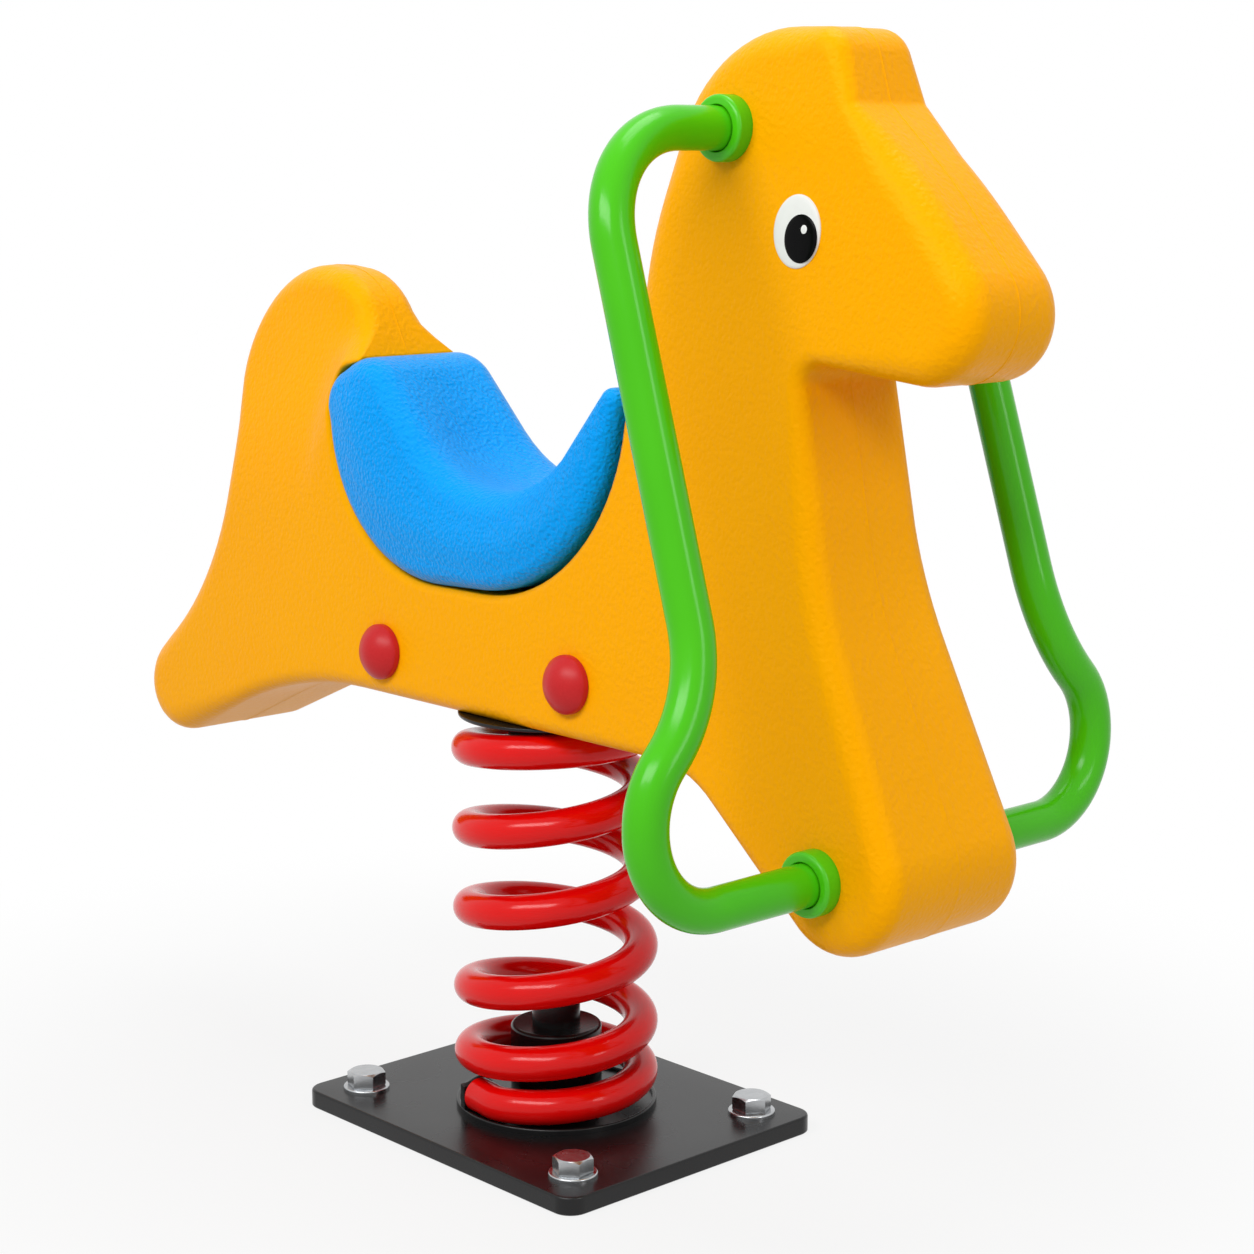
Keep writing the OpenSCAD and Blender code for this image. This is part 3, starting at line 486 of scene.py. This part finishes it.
def close_flanks(bm, loops, width, crown, spacing=0.008, row_share=0.866, clear_share=0.55, crown_reach=0.02):
    """Fills both flanks with an even net of points, crowned outwards away from the edge."""
    outline = np.array([(v.co.x, v.co.z) for v in loops[0]])
    after = np.roll(outline, -1, 0)
    low, high = outline.min(0), outline.max(0)
    inner = []
    for row, z in enumerate(np.arange(low[1], high[1], spacing * row_share)):
        for x in np.arange(low[0] + (row % 2) * spacing / 2, high[0], spacing):
            crosses = (outline[:, 1] > z) != (after[:, 1] > z)
            cut = outline[:, 0] + (z - outline[:, 1]) * (after[:, 0] - outline[:, 0]) / np.where(
                crosses, after[:, 1] - outline[:, 1], 1)
            clear = np.min(np.hypot(outline[:, 0] - x, outline[:, 1] - z))
            if np.count_nonzero(crosses & (cut > x)) % 2 and clear > spacing * clear_share:
                inner.append((x, z, crown * (1 - math.exp(-clear / crown_reach))))
    net = delaunay_2d_cdt(
        [Vector(p) for p in outline] + [Vector(p[:2]) for p in inner], [], [list(range(len(outline)))], 1, 1e-7)
    for side, loop in ((-1, loops[0]), (1, loops[-1])):
        points = loop + [bm.verts.new((x, side * (width(x, z) + bulge), z)) for x, z, bulge in inner]
        for triangle in net[2]:
            bm.faces.new([points[net[3][corner][0]] for corner in triangle])


# Polyethylene from an etched mould: a warm satin skin with a leather grain about 4 mm across.
yellow_skin, tree, output, place = new_finish("moulded_polyethylene_yellow")
cells = add_node(tree, "ShaderNodeTexVoronoi", {"Vector": place, "Scale": 1 / 0.004}, feature="SMOOTH_F1")
grain = add_node(tree, "ShaderNodeTexNoise", {"Vector": place, "Scale": 1 / 0.0025, "Detail": 4.0})
height = add_node(tree, "ShaderNodeMath", {0: cells.outputs["Distance"], 1: grain.outputs["Fac"]}, operation="ADD")
cloud = add_node(tree, "ShaderNodeTexNoise", {"Vector": place, "Scale": 1 / 0.12, "Detail": 3.0})
tone = add_node(tree, "ShaderNodeValToRGB", {"Fac": cloud.outputs["Fac"]})
tone.color_ramp.elements[0].color = linear("#FFA800")
tone.color_ramp.elements[1].color = linear("#FFB000")
gloss = add_node(tree, "ShaderNodeMapRange", {"Value": cloud.outputs["Fac"], "To Min": 0.32, "To Max": 0.42})
dimple = add_node(tree, "ShaderNodeBump", {"Height": height.outputs[0], "Strength": 0.7, "Distance": 0.0007})
plastic = add_node(tree, "ShaderNodeBsdfPrincipled", {
    "Base Color": tone.outputs["Color"], "Roughness": gloss.outputs["Result"], "IOR": 1.51,
    "Specular IOR Level": 0.16, "Specular Tint": linear("#FFD060"), "Normal": dimple.outputs["Normal"]})
tree.links.new(plastic.outputs["BSDF"], output.inputs["Surface"])

seam = [(0.5, 0), (0.025, 0), (0.012, bead_height)]
seam_rings = [(-1, share, lift) for share, lift in seam] + [(1, share, lift) for share, lift in seam[::-1]]
bm = bmesh.new()
body_outline = belt([circle_on(*circle) for circle in body_circles])
close_flanks(bm, skin(bm, moulding_rings(body_outline, flank, seam_rings)), flank, 0)
body = add_piece("body_moulding", bm, yellow_skin, "yellow_moulded_plastic", "rider", "body_shell")

# The cradle's pocket, the bolt wells and the bores for bolts and rods are cut after moulding.
bolt_places = [(-0.130, 0.368), (0.091, 0.374)]
rod_places = [on_body(0.248, 0.478), on_body(0.374, -0.0585)]
pocket_middle, pocket_size = (-0.0195, 0, 0.3633), (0.2856, 0.0566, 0.0646)
well_radius, well_length, well_overrun, bore_radius, bore_length = 0.019, 0.04, 0.004, 0.0065, 0.3
across = Matrix.Rotation(math.radians(90), 4, "X")


def add_rod(bm, radius, length, at, sides):
    """A closed rod that lies across the body, to cut with."""
    bmesh.ops.create_cone(
        bm, cap_ends=True, segments=sides, radius1=radius, radius2=radius, depth=length,
        matrix=Matrix.Translation(at) @ across)


def cut_out(piece, bm):
    """Cuts the closed volumes of a bmesh out of a piece for good."""
    bmesh.ops.recalc_face_normals(bm, faces=bm.faces)
    mesh = bpy.data.meshes.new("cutter")
    bm.to_mesh(mesh)
    bm.free()
    cutter = bpy.data.objects.new("cutter", mesh)
    bpy.context.collection.objects.link(cutter)
    cut = piece.modifiers.new("cut", "BOOLEAN")
    cut.operation, cut.solver, cut.object = "DIFFERENCE", "EXACT", cutter
    piece.modifiers.move(len(piece.modifiers) - 1, 0)
    even = piece.modifiers["even_normals"]
    even.show_viewport = False
    whole = piece.evaluated_get(bpy.context.evaluated_depsgraph_get())
    piece.data = bpy.data.meshes.new_from_object(whole)
    piece.data.set_sharp_from_angle(angle=crease_angle)
    even.show_viewport = True
    piece.modifiers.remove(cut)
    bpy.data.objects.remove(cutter)


bm = bmesh.new()
bmesh.ops.create_cube(bm, matrix=Matrix.Translation(pocket_middle) @ Matrix.Diagonal((*pocket_size, 1)))
well_middle = half_width(bolt_places[1][1]) + well_overrun
for x, z in bolt_places:
    for side in (-1, 1):
        add_rod(bm, well_radius, well_length, (x, side * well_middle, z), 48)
cut_out(body, bm)
bm = bmesh.new()
for x, z in bolt_places + rod_places:
    add_rod(bm, bore_radius, bore_length, (x, 0, z), 32)
cut_out(body, bm)

# Bolt caps: four domed caps pushed into the wells in the flanks over the cradle's bolts, with a skirt inside.
# They are injection moulded nylon in a duller red than the spring, with a light sheen and a soft rim.
cap_radius, cap_height, cap_rim, cap_seat, dome_radius = 0.022, 0.017, 0.0051, 0.0001, 0.0215
skirt_depth, skirt_radius, skirt_bore, cap_roof = 0.005, 0.018, 0.015, 0.003


def on_flank(x, z, side):
    """Places a piece that was made upright on one flank, square to it."""
    lean = math.atan((chest_width - head_width) / 2 / ((chest_drop_share + head_rise_share) * body_length))
    return Matrix.Diagonal((1, -side, 1, 1)) @ Matrix.Translation((x, -half_width(z), z)) @ Matrix.Rotation(
        math.radians(90) - lean, 4, "X")


# Nylon with a fine spark-eroded texture about 1 mm across, drawn 1.5 mm to show: an even, soft sheen.
red_nylon, tree, output, place = new_finish("moulded_nylon_red")
grain = add_node(tree, "ShaderNodeTexNoise", {"Vector": place, "Scale": 1 / 0.0015, "Detail": 2.0})
tone = add_node(tree, "ShaderNodeValToRGB", {"Fac": grain.outputs["Fac"]})
tone.color_ramp.elements[0].color = linear("#BE1E22")
tone.color_ramp.elements[1].color = linear("#CA262A")
dimple = add_node(tree, "ShaderNodeBump", {"Height": grain.outputs["Fac"], "Strength": 0.2, "Distance": 0.0003})
plastic = add_node(tree, "ShaderNodeBsdfPrincipled", {
    "Base Color": tone.outputs["Color"], "Roughness": 0.36, "IOR": 1.53, "Specular IOR Level": 0.2,
    "Normal": dimple.outputs["Normal"]})
tree.links.new(plastic.outputs["BSDF"], output.inputs["Surface"])

dome_height = cap_height - cap_rim
ball = (cap_radius**2 + dome_height**2) / (2 * dome_height)
dome = [math.asin(dome_radius / ball) * k / 16 for k in range(17)]
cap_profile = [(ball * math.sin(a), cap_height - ball + ball * math.cos(a)) for a in dome]
cap_profile += [(0.0219, 0.0047), (cap_radius, 0.004), (cap_radius, 0.0006), (dome_radius, cap_seat)]
cap_profile += [(skirt_radius, cap_seat), (skirt_radius, -skirt_depth), (skirt_bore, -skirt_depth)]
cap_profile += [(skirt_bore, cap_roof), (0, cap_roof)]
bm = bmesh.new()
for x, z in bolt_places:
    for side in (-1, 1):
        turn(bm, cap_profile, on_flank(x, z, side))
add_piece("bolt_caps_nylon", bm, red_nylon, "red_cap_plastic", "rider", "bolt_caps")

# Saddle: a separate moulded seat that fills the hollow in the body's back, dished, with a low horn in front.
# It is moulded polyethylene too, in blue, with a coarser grain, and two screws from the pocket hold it down.
saddle_gap, saddle_proud, saddle_dish, saddle_crown = 0.0004, 0.008, 0.005, 0.006


def saddle_half(x, z):
    """The saddle stands a little proud of the flanks."""
    return half_width(z) + saddle_proud


def filling(x, z, r, edge):
    """A circle of the saddle's underside, which follows a hollow in the body with a small gap."""
    return (*on_body(x, z), -r * body_length - saddle_gap, edge * body_length, 0)


# Blue polyethylene, with a pebbled leather grain about 3 mm across so that it grips.
blue_skin, tree, output, place = new_finish("moulded_polyethylene_blue")
cells = add_node(tree, "ShaderNodeTexVoronoi", {"Vector": place, "Scale": 1 / 0.003}, feature="SMOOTH_F1")
grain = add_node(tree, "ShaderNodeTexNoise", {"Vector": place, "Scale": 1 / 0.0025, "Detail": 4.0})
height = add_node(tree, "ShaderNodeMath", {0: cells.outputs["Distance"], 1: grain.outputs["Fac"]}, operation="ADD")
cloud = add_node(tree, "ShaderNodeTexNoise", {"Vector": place, "Scale": 1 / 0.1, "Detail": 3.0})
tone = add_node(tree, "ShaderNodeValToRGB", {"Fac": cloud.outputs["Fac"]})
tone.color_ramp.elements[0].color = linear("#0098F0")
tone.color_ramp.elements[1].color = linear("#04A2FA")
gloss = add_node(tree, "ShaderNodeMapRange", {"Value": cloud.outputs["Fac"], "To Min": 0.3, "To Max": 0.38})
dimple = add_node(tree, "ShaderNodeBump", {"Height": height.outputs[0], "Strength": 1.0, "Distance": 0.0012})
plastic = add_node(tree, "ShaderNodeBsdfPrincipled", {
    "Base Color": tone.outputs["Color"], "Roughness": gloss.outputs["Result"], "IOR": 1.51,
    "Specular IOR Level": 0.2, "Specular Tint": linear("#80D0FF"), "Normal": dimple.outputs["Normal"]})
tree.links.new(plastic.outputs["BSDF"], output.inputs["Surface"])

saddle_outline = belt([
    circle_on(-0.1805, 0.2445, 0.0435, 0.021),  # rear top
    circle_on(-0.1965, 0.247, 0.0325, 0.0175),  # rear corner
    filling(-0.078, 0.254, -0.151, 0.02),  # rear of the underside
    circle_on(-0.021, 0.2665, 0.16, 0.016),  # front of the underside
    circle_on(0.136, 0.272, 0.0105, 0.009),  # tip of the horn
    circle_on(-0.013, 0.3115, -0.1235, 0.024, saddle_dish)])  # seat
saddle_rings = [(-1 if eighth > 0 else 1, abs(eighth) / 8, 0) for eighth in range(7, -8, -1)]
bm = bmesh.new()
close_flanks(bm, skin(bm, moulding_rings(saddle_outline, saddle_half, saddle_rings)), saddle_half, saddle_crown)
add_piece("saddle_moulding", bm, blue_skin, "blue_moulded_plastic", "rider", "saddle")
finish_nodes(zinc_plate, "saddle_screws")

# Eyes: an oval white disc set on each side of the head, with a black oval pupil on it, and on each pupil a small white
# disc as a painted highlight.
# The whites and pupils are injection moulded ABS, slightly domed and polished, glued in place.
eye_place = on_body(0.322, 0.405)
lens_profile = [
    (0, 1), (0.25, 0.985), (0.5, 0.94), (0.7, 0.86), (0.84, 0.75), (0.93, 0.6), (0.98, 0.4), (1, 0.15), (1, 0), (0, 0)]

# Polished ABS: plain white and black with a clear, tight gloss and a very faint ripple from cooling, 6 mm across.
eye_finishes = []
for name, dark, light in (("white", "#E6E6E4", "#ECECEA"), ("black", "#050506", "#0B0B0C")):
    finish, tree, output, place = new_finish("moulded_abs_" + name)
    ripple = add_node(tree, "ShaderNodeTexNoise", {"Vector": place, "Scale": 1 / 0.006, "Detail": 1.0})
    tone = add_node(tree, "ShaderNodeValToRGB", {"Fac": ripple.outputs["Fac"]})
    tone.color_ramp.elements[0].color, tone.color_ramp.elements[1].color = linear(dark), linear(light)
    dimple = add_node(tree, "ShaderNodeBump", {"Height": ripple.outputs["Fac"], "Strength": 0.05, "Distance": 0.0003})
    plastic = add_node(tree, "ShaderNodeBsdfPrincipled", {
        "Base Color": tone.outputs["Color"], "Roughness": 0.2, "IOR": 1.54, "Specular IOR Level": 0.05,
        "Normal": dimple.outputs["Normal"]})
    tree.links.new(plastic.outputs["BSDF"], output.inputs["Surface"])
    eye_finishes.append(finish)
white_abs, black_abs = eye_finishes

# From the head outwards: each layer's width and height, its shift on the flank, and its foot and top above the flank.
for name, finish, slot, (wide, high), shift, (foot, top), nodes in (
        ("eye_whites_domed", white_abs, "white_eye_plastic", (0.042, 0.0485), (0, 0), (0.0001, 0.0027), ["eye_whites"]),
        ("eye_pupils_domed", black_abs, "black_eye_plastic", (0.029, 0.032), (0.00506, -0.0046), (0.002, 0.0037),
         ["eye_pupils"]),
        # painted highlight: a small white disc on each pupil, standing for a lamp's reflection
        ("eye_painted_highlights", white_abs, "white_eye_plastic", (0.0068, 0.0074), (0.0087, 0.0011), (0.0028, 0.0038), [])):
    bm = bmesh.new()
    for side in (-1, 1):
        oval = Matrix.Translation((*shift, foot)) @ Matrix.Diagonal((wide / 2, high / 2, top - foot, 1))
        turn(bm, lens_profile, on_flank(*eye_place, side) @ oval)
    add_piece(name, bm, finish, slot, "rider", *nodes)

# Rails: one bent steel tube on each side, from the head out and down to a foot rest and back in to the chest.
# Each is 30 mm tube, bent on three formers and powder coated gloss green. Rods through the body tie the two together.
tube_radius, tube_wall, tube_sides, rail_seat = 0.015, 0.0025, 40, 0.0001
rail_places = [rod_places[0], on_body(0.369, 0.092), rod_places[1]]
rail_reach, rail_bends = (0.167, 0.172, 0.310), (0.079, 0.115, 0.060)


def rail_path(run_step=0.02, bend_step=3):
    """Points and directions along the middle of the right rail: straight runs with round bends between them."""
    ends = [Vector((x, -half_width(z - tube_radius) - rail_seat, z)) for x, z in rod_places]
    corners = [ends[0]] + [Vector((x, -out, z)) for (x, z), out in zip(rail_places, rail_reach)] + [ends[1]]
    runs = [(b - a).normalized() for a, b in zip(corners, corners[1:])]
    path = [(corners[0], runs[0])]
    for i, radius in enumerate(rail_bends, 1):
        into, away = runs[i - 1], runs[i]
        angle = into.angle(away)
        start = corners[i] - into * radius * math.tan(angle / 2)
        inward = (away - into * into.dot(away)).normalized()
        count = math.ceil((start - path[-1][0]).length / run_step)
        path += [(path[-1][0].lerp(start, k / count), into) for k in range(1, count)]
        steps = math.ceil(math.degrees(angle) / bend_step)
        for k in range(steps + 1):
            a = angle * k / steps
            path.append((
                start + into * radius * math.sin(a) + inward * radius * (1 - math.cos(a)),
                into * math.cos(a) + inward * math.sin(a)))
    count = math.ceil((corners[-1] - path[-1][0]).length / run_step)
    return path + [(path[-1][0].lerp(corners[-1], k / count), runs[-1]) for k in range(1, count + 1)]


# Green polyester powder coat on tube: a deep gloss with a soft orange peel about 3 mm across.
green_coat, tree, output, place = new_finish("powder_coated_tube_green")
peel = add_node(tree, "ShaderNodeTexNoise", {"Vector": place, "Scale": 1 / 0.003, "Detail": 2.0})
cloud = add_node(tree, "ShaderNodeTexNoise", {"Vector": place, "Scale": 1 / 0.08, "Detail": 3.0})
tone = add_node(tree, "ShaderNodeValToRGB", {"Fac": cloud.outputs["Fac"]})
tone.color_ramp.elements[0].color = linear("#44B808")
tone.color_ramp.elements[1].color = linear("#4CC20E")
gloss = add_node(tree, "ShaderNodeMapRange", {"Value": cloud.outputs["Fac"], "To Min": 0.16, "To Max": 0.24})
dimple = add_node(tree, "ShaderNodeBump", {"Height": peel.outputs["Fac"], "Strength": 0.1, "Distance": 0.0003})
coat = add_node(tree, "ShaderNodeBsdfPrincipled", {
    "Base Color": tone.outputs["Color"], "Roughness": gloss.outputs["Result"], "IOR": 1.5,
    "Specular IOR Level": 0.22, "Normal": dimple.outputs["Normal"]})
tree.links.new(coat.outputs["BSDF"], output.inputs["Surface"])

tube_angles = [2 * math.pi * k / tube_sides for k in range(tube_sides)]
for side, hand in ((-1, "right"), (1, "left")):
    bm = bmesh.new()
    outer, inner, across_tube = [], [], Vector((0, 0, 1))
    for point, along in rail_path():
        across_tube = (across_tube - along * across_tube.dot(along)).normalized()
        over = along.cross(across_tube)
        for rings, r in ((outer, tube_radius), (inner, tube_radius - tube_wall)):
            rings.append([
                (point + (across_tube * math.cos(a) + over * math.sin(a)) * r) * Vector((1, -side, 1))
                for a in tube_angles])
    skin(bm, outer + inner[::-1], wrap=True)
    add_piece("rail_" + hand + "_tube", bm, green_coat, "green_coated_tube", "rider", "rail_" + hand)
finish_nodes(zinc_plate, "upper_tie_rod", "lower_tie_rod")

# Collars: four rings slid over the tube ends against the flanks, where they hide the joint.
# They are injection moulded nylon in the rails' green, with a rolled front edge and a narrow gap round the tube.
collar_radius, collar_length, collar_roll, collar_seat = 0.0225, 0.013, 0.003, 0.0001
collar_bore, collar_bore_edge = tube_radius + 0.0006, 0.001

# Nylon moulded in a polished tool: even green with a soft shine and a fine flow texture about 2 mm across.
green_nylon, tree, output, place = new_finish("moulded_nylon_green")
flow = add_node(tree, "ShaderNodeTexNoise", {"Vector": place, "Scale": 1 / 0.002, "Detail": 2.0})
tone = add_node(tree, "ShaderNodeValToRGB", {"Fac": flow.outputs["Fac"]})
tone.color_ramp.elements[0].color = linear("#48BC0C")
tone.color_ramp.elements[1].color = linear("#52C812")
dimple = add_node(tree, "ShaderNodeBump", {"Height": flow.outputs["Fac"], "Strength": 0.1, "Distance": 0.0003})
plastic = add_node(tree, "ShaderNodeBsdfPrincipled", {
    "Base Color": tone.outputs["Color"], "Roughness": 0.28, "IOR": 1.53, "Specular IOR Level": 0.3,
    "Normal": dimple.outputs["Normal"]})
tree.links.new(plastic.outputs["BSDF"], output.inputs["Surface"])

collar_profile = round_corners([
    (collar_bore, 0, 0), (collar_radius, 0, 0), (collar_radius, collar_length, collar_roll),
    (collar_bore, collar_length, collar_bore_edge)], steps=8)
for name, (x, z) in zip(("upper", "lower"), rod_places):
    bm = bmesh.new()
    for side in (-1, 1):
        stand = Matrix.Diagonal((1, -side, 1, 1)) @ Matrix.Translation((x, -half_width(z), z)) @ across
        loops = turn(bm, collar_profile, stand, wrap=True)
        for foot in loops[0] + loops[1]:
            foot.co.y = side * (half_width(foot.co.z) + collar_seat)
    add_piece(name + "_collars_nylon", bm, green_nylon, "green_collar_plastic", "rider", name + "_collars")

# Plugs: a bush inside each tube end, which centres the tube on its tie rod and takes the rod's thread.
# They are moulded in nylon and pressed in, and none of them shows once the rider is built.

# Black nylon from a plain tool: dull, with faint streaks about 4 mm across.
black_nylon, tree, output, place = new_finish("moulded_nylon_black")
streak = add_node(tree, "ShaderNodeTexNoise", {"Vector": place, "Scale": 1 / 0.004, "Detail": 3.0})
tone = add_node(tree, "ShaderNodeValToRGB", {"Fac": streak.outputs["Fac"]})
tone.color_ramp.elements[0].color = linear("#1A1A1C")
tone.color_ramp.elements[1].color = linear("#28282A")
plastic = add_node(tree, "ShaderNodeBsdfPrincipled", {
    "Base Color": tone.outputs["Color"], "Roughness": 0.5, "IOR": 1.53})
tree.links.new(plastic.outputs["BSDF"], output.inputs["Surface"])
finish_nodes(black_nylon, "rail_plugs")

# Studio: a pale sheet on the floor that runs out to a white backdrop, three soft boxes and an even white room.
# The camera stands a little above the head, off the nose on the right side, with a short telephoto lens.
floor_reach, floor_drop, lamp_aim = 30, 0.0002, Vector((0, 0, 0.4))
camera_place, camera_dip, camera_turn = (1.4828, -1.3018, 0.7504), 10.17, 47.09


def straight_rays(tree):
    """1 for what is seen straight from the camera, in a reflection or through glass, and 0 for light that bounces."""
    ray = add_node(tree, "ShaderNodeLightPath", {})
    seen = add_node(tree, "ShaderNodeMath", {
        0: ray.outputs["Is Camera Ray"], 1: ray.outputs["Is Glossy Ray"]}, operation="MAXIMUM")
    return add_node(tree, "ShaderNodeMath", {
        0: seen.outputs[0], 1: ray.outputs["Is Transmission Ray"]}, operation="MAXIMUM").outputs[0]


# Matt white paper: it keeps a soft shadow round the base plate and runs out to plain white within a metre.
sheet, tree, output, place = new_finish("matt_paper_white")
paper = add_node(tree, "ShaderNodeBsdfPrincipled", {"Base Color": linear("#C0C0C0"), "Roughness": 0.9})
white = add_node(tree, "ShaderNodeEmission", {"Color": linear("#FFFFFF"), "Strength": 1.0})
away = add_node(tree, "ShaderNodeVectorMath", {0: place}, operation="LENGTH")
fade = add_node(tree, "ShaderNodeMapRange", {
    "Value": away.outputs["Value"], "From Min": 0.25, "From Max": 0.9, "To Min": 0.84},
    interpolation_type="SMOOTHSTEP")
share = add_node(tree, "ShaderNodeMath", {0: fade.outputs["Result"], 1: straight_rays(tree)}, operation="MULTIPLY")
seen = add_node(tree, "ShaderNodeMixShader", {
    "Fac": share.outputs[0], 1: paper.outputs["BSDF"], 2: white.outputs["Emission"]})
tree.links.new(seen.outputs["Shader"], output.inputs["Surface"])
bm = bmesh.new()
bmesh.ops.create_grid(bm, x_segments=2, y_segments=2, size=floor_reach)
mesh = bpy.data.meshes.new("floor")
bm.to_mesh(mesh)
bm.free()
mesh.materials.append(sheet)
floor = bpy.data.objects.new("floor", mesh)
floor.location.z = -floor_drop
bpy.context.collection.objects.link(floor)

room = bpy.data.worlds.new("white_room")
room.use_nodes = True
tree = room.node_tree
tree.nodes.clear()
level = add_node(tree, "ShaderNodeMapRange", {"Value": straight_rays(tree), "To Min": 0.45, "To Max": 1.0})
sky = add_node(tree, "ShaderNodeBackground", {"Color": linear("#FFFFFF"), "Strength": level.outputs["Result"]})
add_node(tree, "ShaderNodeOutputWorld", {"Surface": sky.outputs["Background"]})
bpy.context.scene.world = room

for name, at, size, watts in (
        ("key_box", (0.4, -2.2, 2.3), (2.4, 0.8), 56), ("side_box", (2.4, 0.2, 1.5), (0.5, 1.2), 11),
        ("top_box", (0, 0.4, 2.8), (1.2, 1.2), 19)):
    lamp = bpy.data.lights.new(name, "AREA")
    lamp.shape, lamp.size, lamp.size_y, lamp.energy = "RECTANGLE", *size, watts
    holder = bpy.data.objects.new(name, lamp)
    holder.location = at
    holder.rotation_euler = (lamp_aim - Vector(at)).to_track_quat("-Z", "Y").to_euler()
    bpy.context.collection.objects.link(holder)

lens = bpy.data.cameras.new("camera")
lens.sensor_width, lens.lens = 36, 74.64
camera = bpy.data.objects.new("camera", lens)
camera.location = camera_place
camera.rotation_euler = (math.radians(90 - camera_dip), 0, math.radians(camera_turn))
bpy.context.collection.objects.link(camera)
bpy.context.scene.camera = camera
bpy.context.scene.view_settings.view_transform = "Standard"
